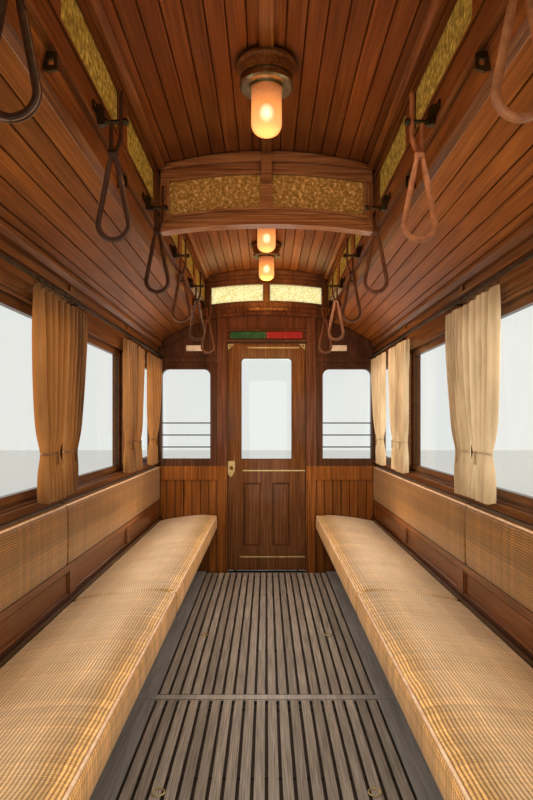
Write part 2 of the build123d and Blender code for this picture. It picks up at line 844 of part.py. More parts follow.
def mid_arch():
    """Transverse frame under the raised roof, with two curved lights, a moulded lip and a cornice."""
    y0, y1 = roofMiddle - archThickness / 2, roofMiddle + archThickness / 2
    half = clerestoryHalf - archSideGap
    pieces = [
        arch_band(-archDrop, None, 0, half, y0, y1),
        arch_band(-archDrop - 8, -archDrop + 36, 0, half, y0 - archLipProud, y1 + archLipProud),
        arch_band(fanHeight + 72, None, 0, half, y0 - archCorniceProud, y1 + archCorniceProud),
        arch_band(-archPaneDrop - fanBead, archPaneHeight - archPaneDrop + fanBead, 0, fanOuter + fanBead,
                  y0 - fanBeadProud, y1 + fanBeadProud, archPaneSag),
    ]
    frame = fused([shape for piece in pieces for shape in both_sides(piece)])
    for pane in arch_panes(y0 - fanBeadProud - 1, y1 + fanBeadProud + 1):
        frame = frame - pane
    crown = ceiling(muntinHalf) - 4
    frame = frame + block(-muntinHalf, muntinHalf, y0 - muntinProud, y1 + muntinProud,
                          crown - muntinHeight, crown)
    keep("mid_arch", frame)
    keep("arch_glass", *arch_panes(roofMiddle - glassThickness / 2, roofMiddle + glassThickness / 2))


def ceiling_casing():
    """Flat wiring casing along the crown, broken by the lamps and by the arch."""
    top = level(clerestoryCrown)
    under = ceiling(casingHalf) - 0.5
    arch = archThickness / 2 + muntinProud
    end = halfLength - upperStepProud
    for y0, y1 in ((-end, roofMiddle - arch), (roofMiddle + arch, end)):
        strip = block(-casingHalf, casingHalf, y0, y1, top - casingDepth, under)
        for offset in lampOffsets:
            strip = strip - rod_z(0, roofMiddle + offset, top - casingDepth - 1, top + 1, lampRoseRadius)
        keep("ceiling_casing", strip)


def turned_piece(profile, y):
    """A round piece about the upright line at y, from (radius, height) points."""
    face = Face(Wire.make_polygon([Vector(r, 0, z) for r, z in profile], close=True))
    return Pos(0, y, 0) * revolve(face, Axis.Z)


def lamp_glass(low, top):
    """A frosted tube with a softly rounded lower end, open at the top."""
    def half_section(radius, bottom):
        bend = lampGlassBend
        side = Line((radius, 0, top), (radius, 0, bottom + bend))
        curve = ThreePointArc((radius, 0, bottom + bend), (radius - bend * 0.29, 0, bottom + bend * 0.29),
                              (radius - bend, 0, bottom))
        base = Line((radius - bend, 0, bottom), (0, 0, bottom))
        closing = Polyline((0, 0, bottom), (0, 0, top), (radius, 0, top))
        return revolve(make_face([side, curve, base, closing]), Axis.Z)
    outer = lampGlassRadius - seatGap
    return half_section(outer, low) - half_section(outer - lampGlassWall, low + lampGlassWall)


def lamps():
    """Ceiling lamps: a turned wooden rose, a dished brass collar and a frosted glass."""
    top = level(clerestoryCrown) - 9
    base = top - lampRoseDepth
    ring, glass = lampCollarRadius, lampGlassRadius
    rose = [(0, top), (lampRoseRadius, top), (lampRoseRadius, top - 12), (lampRoseRadius - 8, top - 20),
            (lampRoseRadius - 15, base), (0, base)]
    collar = [(0, base), (ring - 10, base), (ring - 10, base - 12), (ring, base - 20), (ring, base - 30),
              (ring - 8, base - 36), (glass + 8, base - 36), (glass + 8, base - 44), (glass, base - 44),
              (glass, base - 20), (0, base - 20)]
    for offset in lampOffsets:
        y = roofMiddle + offset
        keep("lamp_roses", turned_piece(rose, y))
        keep("lamp_collars", turned_piece(collar, y))
        keep("lamp_glasses", Pos(0, y, 0) * lamp_glass(base - 20 - lampGlassLength, base - 20))


def bench_bracket(y):
    """Curved bracket over the riser that carries the cushion's front rail."""
    top = level(cushionBottom)
    back = halfInsideLow - seatRailWidth
    front = seatFront + 75
    outline = [(front, top - 26), (back, top - 26), (back, top - bracketDepth), (riserFace, top - bracketDepth),
               (riserFace, top - bracketDepth - 60), (riserFace - 30, top - 100), (riserFace - 90, top - 66),
               (front, top - seatRailHeight)]
    low = max(y - bracketWidth / 2, -halfLength)
    high = min(y + bracketWidth / 2, halfLength)
    return along_y(outline, low, high), low, high


def bench():
    """Right bench carcass: front and back rails on brackets, and the upright riser board they sit in."""
    top = level(cushionBottom)
    pieces = [
        block(seatFront + 35, seatFront + 75, -halfLength, halfLength, top - seatRailHeight, top),
        block(halfInsideLow - seatRailWidth, halfInsideLow, -halfLength, halfLength, top - seatRailHeight, top),
    ]
    riser = block(riserFace, riserFace + riserThickness, -halfLength, halfLength, deckTop, top)
    for i in range(2 * bayCount + 1):
        bracket, low, high = bench_bracket(bayPitch * i / 2 - halfLength)
        pieces.append(bracket)
        riser = riser - block(riserFace - 1, riserFace + riserThickness + 1, low, high,
                              top - bracketDepth, top - 26)
    return fused(pieces), riser


def cushion(y0, y1):
    """One long seat cushion, crowned, lower at the back than at its rolled front edge."""
    base, welt, crown = level(cushionBottom), level(cushionWelt), level(cushionTop)
    backX = halfInsideLow - backPadThickness - 2
    outline = [(seatFront + 6, base), (seatFront, base + 10), (seatFront, welt - 12), (seatFront + 10, welt),
               (seatFront + 60, crown - 3), (seatFront + 130, crown), (seatFront + 260, crown - 10),
               (backX, level(cushionBackTop)), (backX, base)]
    return along_y(outline, y0, y1)


def back_pad(y0, y1):
    """Upright cane-covered pad with a rounded top, standing on the panel rail."""
    face = halfInsideLow - backPadThickness
    back = halfInsideLow - seatGap
    low, high = level(backPadBottom), level(backPadTop)
    outline = [(face + 6, low), (face, low + 12), (face - 2, (low + high) / 2), (face, high - 20),
               (face + 8, high - 6), (face + 20, high), (back, high), (back, low)]
    return along_y(outline, y0, y1)


def back_panel():
    """Framed wooden panelling between cushion and pad, with a stile at each pillar and a toe rail."""
    face = halfInsideLow - panelThickness
    low, high = level(cushionBottom), level(backPadBottom) - seatGap
    rail = level(cushionBackTop) + 4
    panel = block(face, halfInsideLow, -halfLength, halfLength, low, high)
    for y in bayMiddles:
        half = (bayPitch - panelStile) / 2
        field = block(face - 1, face + panelField, y - half, y + half, rail + 26, high - panelRail)
        panel = panel - field
    return panel + block(face - backRailProud, face, -halfLength, halfLength, rail, rail + backRailHeight)


def seats():
    end = halfLength - seatGap
    padEnd = end - lowerRailProud
    seatEnd = end - postProud
    frame, riser = bench()
    panel = back_panel()
    keep("seat_frame_right", frame)
    keep("seat_frame_left", flip_x(frame))
    keep("seat_risers", *both_sides(riser))
    keep("seat_panel_right", panel)
    keep("seat_panel_left", flip_x(panel))
    for half in (-1, 1):
        gap = half * cushionGap / 2
        seat = cushion(*sorted((cushionMeet + gap, half * seatEnd)))
        pad = back_pad(*sorted((backPadMeet + gap, half * padEnd)))
        keep("seat_cushions_right", seat)
        keep("seat_cushions_left", flip_x(seat))
        keep("seat_backs_right", pad)
        keep("seat_backs_left", flip_x(pad))


def curtain(y, half):
    """One gathered curtain as a closed flat bundle, drawn in at its tie."""
    tie = curtainBottom + curtainTie
    spans = ((curtainTop, 1.0), (tie + 330, 0.92), (tie, 0.62), (curtainBottom, 0.76))
    outline = [Vector(0, y + half * share, level(z)) for z, share in spans]
    outline += [Vector(0, y - half * share, level(z)) for z, share in reversed(spans)]
    face = Face(Wire.make_polygon(outline, close=True))
    return Pos(rodX - curtainDepth / 2, 0, 0) * extrude(face, amount=curtainDepth, dir=(1, 0, 0))


def curtains():
    for line, offset, half in curtainTable:
        shape = curtain(bayPitch * line - halfLength + offset, half)
        keep("curtains_right", shape)
        keep("curtains_left", flip_x(shape))
    end = halfLength - upperRailProud
    z = level(rodHeight)
    rod = rod_y(rodX, -end, end, z, rodRadius)
    for y in pillarMiddles:
        rod = rod + block(rodX, halfInside, y - 5, y + 5, z - 5, z + 5)
    keep("curtain_rods", *both_sides(rod))


def strap_hanger(y):
    """Cast arm screwed to the clerestory frame, with a round peg that carries the strap."""
    pin = level(strapPinHeight)
    wall = clerestoryHalf
    moulding = level(beamTop) + 17
    front = wall - sideMouldingProud - 1
    back = front - hangerArm
    arm = [(wall, pin + 52), (wall, moulding + 2), (front, moulding + 2), (front, pin - 12), (back, pin - 12),
           (back, pin + 36), (back + 12, pin + 52)]
    plate = block(wall - 7, wall, y - hangerWidth / 2, y + hangerWidth / 2, moulding + 2, pin + 60)
    tail = strapX - 31
    peg = [(back, 0), (back, 11), (back - 6, 11), (back - 9, strapPinRadius), (tail - 2, strapPinRadius),
           (tail - 2, 12), (tail - 12, 12), (tail - 16, 8), (tail - 16, 0)]
    face = Face(Wire.make_polygon([Vector(x, 0, r) for x, r in peg], close=True))
    turned_peg = Pos(0, y, pin) * revolve(face, Axis.X)
    return fused([along_y(arm, y - 11, y + 11), plate, turned_peg])


def strap(y):
    """Leather strap: round loop, two ends brought together, one eyed on the peg and one standing tail."""
    pin = level(strapPinHeight)
    half = strapThickness / 2
    radius = strapLoopWidth / 2 - half
    centre = pin - strapDrop + half + radius
    apex = pin - strapNeck
    angle = math.acos(radius / (apex - centre))
    tx, tz = radius * math.sin(angle), centre + radius * math.cos(angle)
    bottom = ThreePointArc((tx, 0, tz), (0, 0, centre - radius), (-tx, 0, tz))
    pieces = [sweep(Plane(origin=(tx, 0, tz), z_dir=bottom % 0) * Circle(half), path=bottom)]
    for side in (-1, 1):
        leg = Line((side * tx, 0, tz), (0, 0, apex))
        pieces.append(sweep(Plane(origin=(side * tx, 0, tz), z_dir=leg % 0) * Circle(half), path=leg))
    pieces.append(block(-strapLeather, strapLeather, -half, half, apex - 12, apex + 10))
    pieces.append(block(0, strapLeather, -half, half, apex, pin))
    pieces.append(rod_x(0, strapLeather, 0, pin, strapEyeRadius))
    tail = [(-31, pin + strapTail), (-31 + strapLeather, pin + strapTail), (-31 + strapLeather, pin - 40),
            (0, apex), (-strapLeather, apex), (-31, pin - 55)]
    pieces.append(along_y(tail, -half, half))
    whole = fused(pieces) - rod_x(-50, 50, 0, pin, strapPinRadius + strapPinClearance)
    return Pos(strapX, y, 0) * whole


def straps():
    for i, y in enumerate(strapMiddles, start=1):
        keep("strap_hangers", *both_sides(strap_hanger(y)))
        loop = strap(y)
        keep("strap_right_" + str(i), loop)
        keep("strap_left_" + str(i), flip_x(loop))


def signs():
    """Blank destination board over each door and a small blank plate over each end window."""
    y0 = halfLength
    low = level(doorOpeningTop + 26)
    reach = doorOpening / 2 - boardInset
    for x0, x1 in ((-reach, -boardSplit / 2), (boardSplit / 2, reach)):
        board = block(x0, x1, y0 - boardProud, y0, low, low + boardHeight)
        keep("destination_boards", board, flip_y(board))
    plateX = (endWindowInner + endWindowOuter) / 2 - plateWidth / 2 - plateShift
    top = level(wallTop) - 9
    plate = block(plateX, plateX + plateWidth, y0 - plateProud, y0, top - plateHeight, top)
    for piece in both_sides(plate):
        keep("notice_plates", piece, flip_y(piece))


floor_frame()
floor_deck()
slat_mats()
side_walls()
side_sashes()
bulkheads()
guard_rods()
doors()
quarter_roofs()
clerestory_roof()
clerestory_sides()
cord_eyes()
mid_arch()
ceiling_casing()
lamps()
seats()
curtains()
straps()
signs()

os.makedirs("parts", exist_ok=True)
for name, solids in nodes.items():
    export_step(Compound(children=solids), "parts/" + name + ".step")
print(len(nodes), "nodes")
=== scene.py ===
import math
import random

import bmesh
import bpy
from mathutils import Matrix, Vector


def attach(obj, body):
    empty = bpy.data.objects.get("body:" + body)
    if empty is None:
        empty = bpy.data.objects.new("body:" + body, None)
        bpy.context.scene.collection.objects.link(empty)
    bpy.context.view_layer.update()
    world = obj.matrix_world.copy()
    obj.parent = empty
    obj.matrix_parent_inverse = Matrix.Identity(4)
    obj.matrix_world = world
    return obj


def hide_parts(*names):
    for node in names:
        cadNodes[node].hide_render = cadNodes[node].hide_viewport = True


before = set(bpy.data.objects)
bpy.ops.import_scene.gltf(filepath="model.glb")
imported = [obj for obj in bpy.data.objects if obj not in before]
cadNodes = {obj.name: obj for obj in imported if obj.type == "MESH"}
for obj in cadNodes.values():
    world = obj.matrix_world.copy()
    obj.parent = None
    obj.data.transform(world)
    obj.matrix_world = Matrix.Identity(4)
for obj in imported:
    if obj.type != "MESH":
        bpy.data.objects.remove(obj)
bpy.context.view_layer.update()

# Passenger saloon of a vintage tram, seen from its rear doorway. Metres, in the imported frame.
scene = bpy.context.scene
floorTop = 0.2
fullTurn = 6.28
sides = ((1, "right"), (-1, "left"))
print("frame loaded:", len(cadNodes), "nodes")


def hexColor(text):
    channels = [int(text[i:i + 2], 16) / 255 for i in (1, 3, 5)]
    linear = [c / 12.92 if c <= 0.04045 else ((c + 0.055) / 1.055) ** 2.4 for c in channels]
    return (*linear, 1.0)


class NodeKit:
    # a node tree and the few kinds of node that the looks below are made of

    def __init__(self, tree):
        self.tree = tree
        tree.nodes.clear()

    def fill(self, socket, value):
        # a socket takes a node, a link, a number, a colour or a colour's hex text
        if isinstance(value, bpy.types.Node):
            value = value.outputs[0]
        if isinstance(value, bpy.types.NodeSocket):
            self.tree.links.new(value, socket)
        else:
            socket.default_value = hexColor(value) if isinstance(value, str) else value

    def node(self, kind, inputs=None, **settings):
        node = self.tree.nodes.new("ShaderNode" + kind)
        for key, value in settings.items():
            setattr(node, key, value)
        for key, value in (inputs or {}).items():
            self.fill(node.inputs[key], value)
        return node

    def math(self, operation, *inputs):
        # an input may also be another operation, as a tuple
        values = [self.math(*value) if isinstance(value, tuple) else value for value in inputs]
        return self.node("Math", dict(enumerate(values)), operation=operation)

    def mix(self, share, first, second, how="MIX"):
        inputs = {0: share, 6: first, 7: second}
        return self.node("Mix", inputs, data_type="RGBA", blend_type=how).outputs[2]

    def ramp(self, source, places, tones):
        # a tone is a grey from 0 up, or a colour's hex text
        ramp = self.node("ValToRGB", {0: source})
        elements = ramp.color_ramp.elements
        while len(elements) < len(places):
            elements.new(0.5)
        for element, place, tone in zip(elements, places, tones):
            element.position = place
            element.color = hexColor(tone) if isinstance(tone, str) else (tone, tone, tone, 1)
        return ramp

    def shade(self, share, base, *ramp):
        # a colour made darker or paler by a ramp
        return self.mix(share, base, self.ramp(*ramp), "MULTIPLY")

    def coords(self, output="Object"):
        return self.node("TexCoord").outputs[output]

    def split(self, vector=None):
        return self.node("SeparateXYZ", {0: vector or self.coords()}).outputs

    def noise(self, periodsMm, detail=3.0, rough=0.55, distortion=0.0):
        # one unit of noise spans the given millimetres each way
        scaled = self.node("Mapping", {
            "Scale": [1000 / period for period in periodsMm], "Vector": self.coords()})
        return self.node("TexNoise", {"Scale": 1.0, "Detail": detail, "Roughness": rough,
                                      "Distortion": distortion, "Vector": scaled})

    def chance(self, index):
        # one random value for each whole number
        return self.node("TexWhiteNoise", {"W": index}, noise_dimensions="1D")


class Finish(NodeKit):
    # a material on a Principled surface; whatever is the same all over is set on its own sockets

    def __init__(self, name, values):
        self.material = bpy.data.materials.new(name)
        self.material.use_nodes = True
        super().__init__(self.material.node_tree)
        self.shader = self.node("BsdfPrincipled", values)
        self.output = self.node("OutputMaterial", {"Surface": self.shader})

    def paint(self, color, socket="Base Color"):
        self.fill(self.shader.inputs[socket], color)

    def bump(self, height, depthMm, strength=1.0):
        inputs = {"Strength": strength, "Distance": depthMm / 1000, "Height": height}
        self.paint(self.node("Bump", inputs), "Normal")

    def blend(self, share, first, second):
        # two shaders mixed by a share, as the whole surface
        self.fill(self.output.inputs["Surface"], self.node("MixShader", {0: share, 1: first, 2: second}))


# what sets the numbers of boards on the two sides, and at the two ends, apart
sideStep, endStep = 31.7, 7.3


def boardShade(kit, origin, pitch, mirrored=False, breakAt=None):
    # one random value per board, by its number along X
    split = kit.split()
    across = split["X"]
    if mirrored:
        side = kit.math("SIGN", across)
        across = kit.math("ABSOLUTE", across)
    index = kit.math("FLOOR", ("DIVIDE", ("SUBTRACT", across, origin), pitch))
    if mirrored:
        index = kit.math("ADD", index, ("MULTIPLY", side, sideStep))
    if breakAt is not None:
        end = kit.math("SIGN", ("SUBTRACT", split["Y"], breakAt))
        index = kit.math("ADD", index, ("MULTIPLY", end, endStep))
    return kit.chance(index)


grainStops = (0.28, 0.5, 0.74)


def grainPeriods(axis, along, across):
    # grain runs along one axis, so a period is long there and short across it
    return [along if name == axis else across for name in "XYZ"]


def varnishedWood(name, look):
    # varnished pine and mahogany: streaky grain under a gloss coat, and painted shade in inner corners, with
    # some old varnish and dirt there
    kit = Finish(name, {
        "Roughness": look["roughness"], "Specular IOR Level": look.get("gloss", 0.4),
        "Specular Tint": "#ffc48c", "Coat Weight": look["coat"][0], "Coat Roughness": look["coat"][1]})
    axis = look.get("axis", "Y")
    grain = kit.noise(grainPeriods(axis, 420, 9), 4.0, 0.6, 0.6)
    fibre = kit.noise(grainPeriods(axis, 60, 1.6), 2.0)
    cloud = kit.noise(grainPeriods(axis, 900, 120))
    split = kit.split()
    base = kit.ramp(grain, grainStops, look["tones"])
    for side, limit, *tones in look.get("tints", ()):
        # parts of the same piece that are of another tone, from the middle out to a limit on one axis
        inside = kit.math("LESS_THAN", ("ABSOLUTE", split[side]), limit)
        base = kit.mix(inside, base, kit.ramp(grain, grainStops, tones))
    base = kit.shade(0.75, base, cloud, (0.3, 0.7), (0.62, 1.12))
    if "boards" in look:
        base = kit.shade(0.85, base, boardShade(kit, *look["boards"]), (0, 1), (0.68, 1.25))
    if "sunny" in look:
        # painted light: the right side is made lighter, as if lit through the left windows
        base = kit.mix(kit.math("GREATER_THAN", split["X"], 0.0), base, look["sunny"], "MULTIPLY")
    if "grooves" in look:
        # dark lines where matchboards meet, below the rail
        origin, pitch, below = look["grooves"]
        off = kit.math("PINGPONG", ("DIVIDE", ("SUBTRACT", ("ABSOLUTE", split["X"]), origin), pitch), 0.5)
        line = kit.math("MULTIPLY", ("LESS_THAN", off, 0.03), ("LESS_THAN", split["Z"], below))
        base = kit.mix(line, base, "#170b05")
    if "outside" in look:
        # beyond a limit the same piece is painted, but the sides of a window opening stay varnished
        limit, tones = look["outside"]
        facing = kit.split(kit.coords("Normal"))
        outer = kit.math("GREATER_THAN", ("ABSOLUTE", split["X"]), limit)
        outer = kit.math("MULTIPLY", outer, ("LESS_THAN", ("ABSOLUTE", facing["Y"]), 0.7))
        if tones is canvas:
            outer = kit.math("MAXIMUM", outer, ("GREATER_THAN", facing["Z"], 0.05))
        paint = kit.ramp(kit.noise((260, 260, 500), 4.0), (0.3, 0.7), tones)
        if "paintSplit" in look:
            height, lower = look["paintSplit"]
            paint = kit.mix(kit.math("LESS_THAN", split["Z"], height), paint, lower)
        base = kit.mix(outer, base, paint)
    # painted shade: ambient occlusion darkens inner corners and mouldings, as shade would, with some old
    # varnish and dirt
    corner = kit.node("AmbientOcclusion", {"Distance": 0.03}, samples=6).outputs["AO"]
    kit.paint(kit.shade(1.0, base, corner, (0.35, 0.85), (0.22, 1.0)))
    kit.bump(kit.math("ADD", fibre, ("MULTIPLY", grain, 0.6)), 0.2, 0.4)
    return kit


# Outside, grey canvas covers the roofs and ivory paint the sides: low and high tone of each.
canvas = ("#99937f", "#b9b3a4")
ivory = ("#c4b898", "#ded3b8")
alongWalls = {"tones": ("#341b0c", "#5e3617", "#7e522a"), "roughness": 0.36, "coat": (0.25, 0.16)}
# where the bulkheads' matchboards begin on each side, and how wide one is
matchboards = (0.435, 0.52 / 7)

# coat is the varnish's weight and roughness; outside is where its paint begins, and that paint
woodLooks = {
    "varnishedPineCeiling": {
        "tones": ("#42200c", "#5d3012", "#734320"), "roughness": 0.4, "coat": (0.2, 0.2),
        "boards": (-0.54, 1.08 / 16, False, 0.085), "outside": (0.6, canvas)},
    # the right quarter roof is made lighter than the left: painted light
    "varnishedPineQuarter": {
        "tones": ("#4d280f", "#6b3c15", "#815123"), "roughness": 0.38, "coat": (0.08, 0.2),
        "gloss": 0.25, "boards": (0.598, 0.357 / 6, True), "sunny": (1.6, 1.52, 1.4, 1),
        "outside": (1.042, canvas)},
    "varnishedMahoganyEnd": {
        "tones": ("#241611", "#43291d", "#5d4230"), "axis": "Z", "roughness": 0.33, "coat": (0.4, 0.12),
        "boards": (*matchboards, True), "grooves": (*matchboards, 1.003),
        "tints": (("X", 0.436, "#331f13", "#553222", "#76503a"),
                  ("Z", 1.128, "#4c280e", "#7c491d", "#9c632f"))},
    "varnishedMahoganyDoor": {
        "tones": ("#3a2314", "#694123", "#8b623b"), "axis": "Z", "roughness": 0.3, "coat": (0.5, 0.08)},
    "varnishedMahoganyWall": {**alongWalls, "outside": (1.0, ivory), "paintSplit": (1.16, "#6a2018")},
    "varnishedMahoganyLong": alongWalls,
    # painted shade: the rail at the foot of the panelling, under the cushions' back edge, is made nearly
    # black
    "varnishedMahoganyPanel": {
        "tones": ("#3a1a08", "#613413", "#7a4a22"), "roughness": 0.34, "coat": (0.15, 0.14),
        "tints": (("X", 0.9425, "#160c07", "#2a1810", "#3c2518"),)},
    "varnishedMahoganyRoof": {
        "tones": ("#381d0d", "#633718", "#83542a"), "roughness": 0.36, "coat": (0.04, 0.16),
        "gloss": 0.25, "outside": (0.5975, ivory)},
    "varnishedMahoganyArch": {
        "tones": ("#603619", "#91603c", "#bb8b64"), "axis": "X", "roughness": 0.33, "coat": (0.3, 0.14)},
}


def wornWood(name, look):
    # unvarnished boards greyed by shoes and grit: fine dark fibres, and dark between the slats
    kit = Finish(name, {"Roughness": look["roughness"], "IOR": 1.5})
    grain = kit.noise((5, 260, 5), 4.0, 0.65)
    cloud = kit.noise((90, 700, 90))
    base = kit.ramp(grain, (0.3, 0.5, 0.72), look["tones"])
    base = kit.shade(0.6, base, cloud, (0.3, 0.7), (0.7, 1.15))
    base = kit.shade(0.8, base, boardShade(kit, *look["boards"]), (0, 1), (0.8, 1.15))
    # what lies deeper than the tread is in shadow and full of dirt
    deep = kit.math("LESS_THAN", kit.split()["Z"], look["treadFrom"])
    kit.paint(kit.mix(deep, base, "#332e29"))
    kit.bump(grain, 0.5, 0.6)
    return kit


wornLooks = {
    "wornSlatOak": {"tones": ("#5e5a55", "#8f8a83", "#b4aea6"), "boards": (-0.52, 0.052), "roughness": 0.55,
                    "treadFrom": 0.194},
    "wornDeckPine": {"tones": ("#7c7a78", "#a09e9c", "#bab6b2"), "boards": (-0.99, 0.33), "roughness": 0.5,
                     "treadFrom": 0.19},
}


def plainFinish(name, look):
    # one hue broken by slow cloudy wear: metal, enamel, leather, thread and oiled oak
    kit = Finish(name, {"Roughness": look["roughness"], "Metallic": look.get("metallic", 0.0)})
    patch = kit.noise([look.get("patchMm", 40)] * 3, 4.0, 0.6)
    base = kit.ramp(patch, (0.3, 0.7), look["tones"])
    if "farSide" in look:
        # the board is in two colours, parted in the middle
        split = kit.split()
        half = kit.math("GREATER_THAN", ("MULTIPLY", split["X"], ("SIGN", split["Y"])), 0.0)
        base = kit.mix(half, base, look["farSide"])
    kit.paint(base)
    kit.bump(kit.noise([look.get("gritMm", 1.5)] * 3, 2.0), look.get("gritDepth", 0.05), 0.4)
    return kit


leather = {"roughness": 0.34, "gritMm": 1.2, "gritDepth": 0.12}
plainLooks = {
    "polishedBrass": {"tones": ("#ccb46c", "#fbeab8"), "metallic": 0.6, "roughness": 0.26},
    "nickelledBrass": {"tones": ("#9a8a66", "#cfc19a"), "metallic": 1.0, "roughness": 0.3},
    "dullBronze": {"tones": ("#3f3a2b", "#6e6650"), "metallic": 1.0, "roughness": 0.4},
    "oiledSteel": {"tones": ("#26231f", "#45403a"), "metallic": 1.0, "roughness": 0.45},
    "oiledOak": {"tones": ("#3b2c1d", "#5c472f"), "roughness": 0.6, "patchMm": 60},
    "ivoryEnamel": {"tones": ("#cfc6b4", "#e6dfcf"), "roughness": 0.3},
    "twoColourEnamel": {"tones": ("#1c4229", "#2b5c38"), "roughness": 0.25, "farSide": "#8c2226"},
    "tanLeather": {**leather, "tones": ("#6a3d26", "#96603c")},
    "brownLeather": {**leather, "tones": ("#3c2115", "#684028")},
    "darkLeather": {**leather, "tones": ("#1e0f08", "#381d10"), "roughness": 0.42},
    "linenThread": {"tones": ("#7a5c3c", "#9c7c56"), "roughness": 0.7, "gritMm": 0.8},
    "seatWelt": {"tones": ("#d6ad84", "#f3dabc"), "roughness": 0.35, "patchMm": 30, "gritMm": 3,
                 "gritDepth": 0.3},
}


def wovenCane(name, look):
    # varnished cane cloth: strands along the bench over ribs across it, and a painted sheen, paler across the
    # crown where people sit
    kit = Finish(name, {
        "Roughness": 0.42, "Coat Weight": look["coat"], "Coat Roughness": 0.24,
        "Sheen Weight": look["sheen"], "Sheen Roughness": 0.35, "Sheen Tint": "#fff2e0"})
    split = kit.split(kit.node("Attribute", attribute_name="weave").outputs["Vector"])
    wander = kit.noise((50, 90, 50))
    waves, indexes = [], []
    for axis, pitch in (("X", look["strandMm"]), ("Y", look["ribMm"])):
        place = kit.math("MULTIPLY_ADD", wander, 0.7, ("DIVIDE", split[axis], pitch / 1000))
        waves.append(kit.math("SINE", ("MULTIPLY", ("FRACT", place), math.pi)))
        indexes.append(kit.math("FLOOR", place))
    strand, rib = waves
    height = kit.math("MULTIPLY_ADD", rib, look["ribShare"], ("MULTIPLY", strand, 1 - look["ribShare"]))
    base = kit.ramp(height, (0.2, 0.55, 0.9), look["tones"])
    # single strands and ribs differ in tone, and so do bands of a few, which still show from afar
    bands = [kit.math("FLOOR", ("DIVIDE", index, 4)) for index in indexes]
    for index in indexes + bands:
        base = kit.shade(0.7, base, kit.chance(index), (0, 1), (0.76, 1.18))
    cloud = kit.noise((160, 300, 160), 4.0)
    base = kit.shade(0.8, base, cloud, (0.3, 0.7), (0.74, 1.12))
    # painted sheen: a whitish band across the crown of each cushion, standing in for window light on the
    # varnish
    if "worn" in look:
        across = kit.math("ABSOLUTE", kit.split()["X"])
        sheenBand = kit.ramp(across, (0.48, 0.62, 0.74, 0.9), (0.0, 0.95, 0.95, 0.1))
        # the painted sheen is weaker towards the rear door
        along = kit.math("MULTIPLY_ADD", kit.split()["Y"], 0.2, 0.5)
        sheenBand = kit.math("MULTIPLY", sheenBand, kit.ramp(along, (0.1, 0.6), (0.35, 1.0)))
        sheenTone = kit.ramp(height, (0.2, 0.7), look["worn"])
        base = kit.mix(kit.math("MULTIPLY", sheenBand, ("ADD", cloud, 0.2)), base, sheenTone)
    kit.paint(base)
    kit.bump(height, 1.2, 0.8)
    return kit


caneLooks = {
    "wovenCane": {
        "strandMm": 11.5, "ribMm": 6.0, "ribShare": 0.36, "coat": 0.6, "sheen": 0.4,
        "tones": ("#573511", "#c09050", "#f6d08c"), "worn": ("#b2884f", "#fff0d2")},
    # the back pads' cane is darker than the cushions': painted shade
    "canePad": {
        "strandMm": 10.0, "ribMm": 9.0, "ribShare": 0.3, "coat": 0.5, "sheen": 0.2,
        "tones": ("#3a2409", "#70481a", "#a17232")},
    "caneFacing": {
        "strandMm": 9.0, "ribMm": 13.0, "ribShare": 0.45, "coat": 0.4, "sheen": 0.2,
        "tones": ("#a0682a", "#f0ae5c", "#ffd492")},
}


def curtainCloth(name, look):
    # unlined heavy cotton that lets light through: the same cloth is given painted shade, brown, on the left
    # and painted light, beige, on the right
    kit = Finish(name, {"Roughness": 0.9, "Sheen Weight": 0.15})
    weave = kit.noise((1.2, 1.2, 1.8), 2.0)
    cloud = kit.noise((80, 80, 300))
    # painted light and shade: the right side's colours and translucence are lighter, the left side's browner
    right = kit.math("GREATER_THAN", kit.split()["X"], 0.0)
    paintedShadeLeft, sunny = [kit.ramp(cloud, (0.3, 0.7), look[side]) for side in ("left", "right")]
    kit.paint(kit.mix(right, paintedShadeLeft, sunny))
    kit.bump(weave, 0.2, 0.4)
    glow = kit.node("BsdfTranslucent", {"Color": kit.mix(right, *look["glow"])})
    kit.blend(look["through"], kit.shader, glow)
    return kit


# the left tones are painted shade and the right tones painted light, of one cloth
clothLooks = {"curtainCotton": {"left": ("#543819", "#7c5930"), "right": ("#958060", "#c6b191"),
                                "glow": ("#aa682c", "#e6d2ae"), "through": 0.18}}


def paneGlass(name, look):
    # clear panes are seen straight through with a weak mirror image; rolled glass is grainy, lets light
    # through and has a painted glow
    kit = Finish(name, {
        "Base Color": look["mirror"], "Metallic": look["metallic"], "Roughness": look["roughness"]})
    clear = kit.node("BsdfTransparent", {"Color": look["clear"]})
    if "grain" in look:
        cells = kit.noise([look["grainMm"]] * 3, 3.0, 0.6)
        tint = kit.ramp(cells, *look["grain"])
        behind = kit.node("BsdfTranslucent", {"Color": tint})
        # painted light: emission makes rolled glass glow, standing in for daylight behind it
        front = kit.node("Emission", {"Strength": look["glow"], "Color": tint})
        lit = kit.node("AddShader", {0: behind, 1: front})
        share = kit.math("MULTIPLY", ("GREATER_THAN", kit.split()["Z"], look["above"]), look["scatter"])
        clear = kit.node("MixShader", {0: share, 1: clear, 2: lit})
        kit.bump(cells, 1.0, 0.6)
    kit.blend(look["reflect"], clear, kit.shader)
    return kit


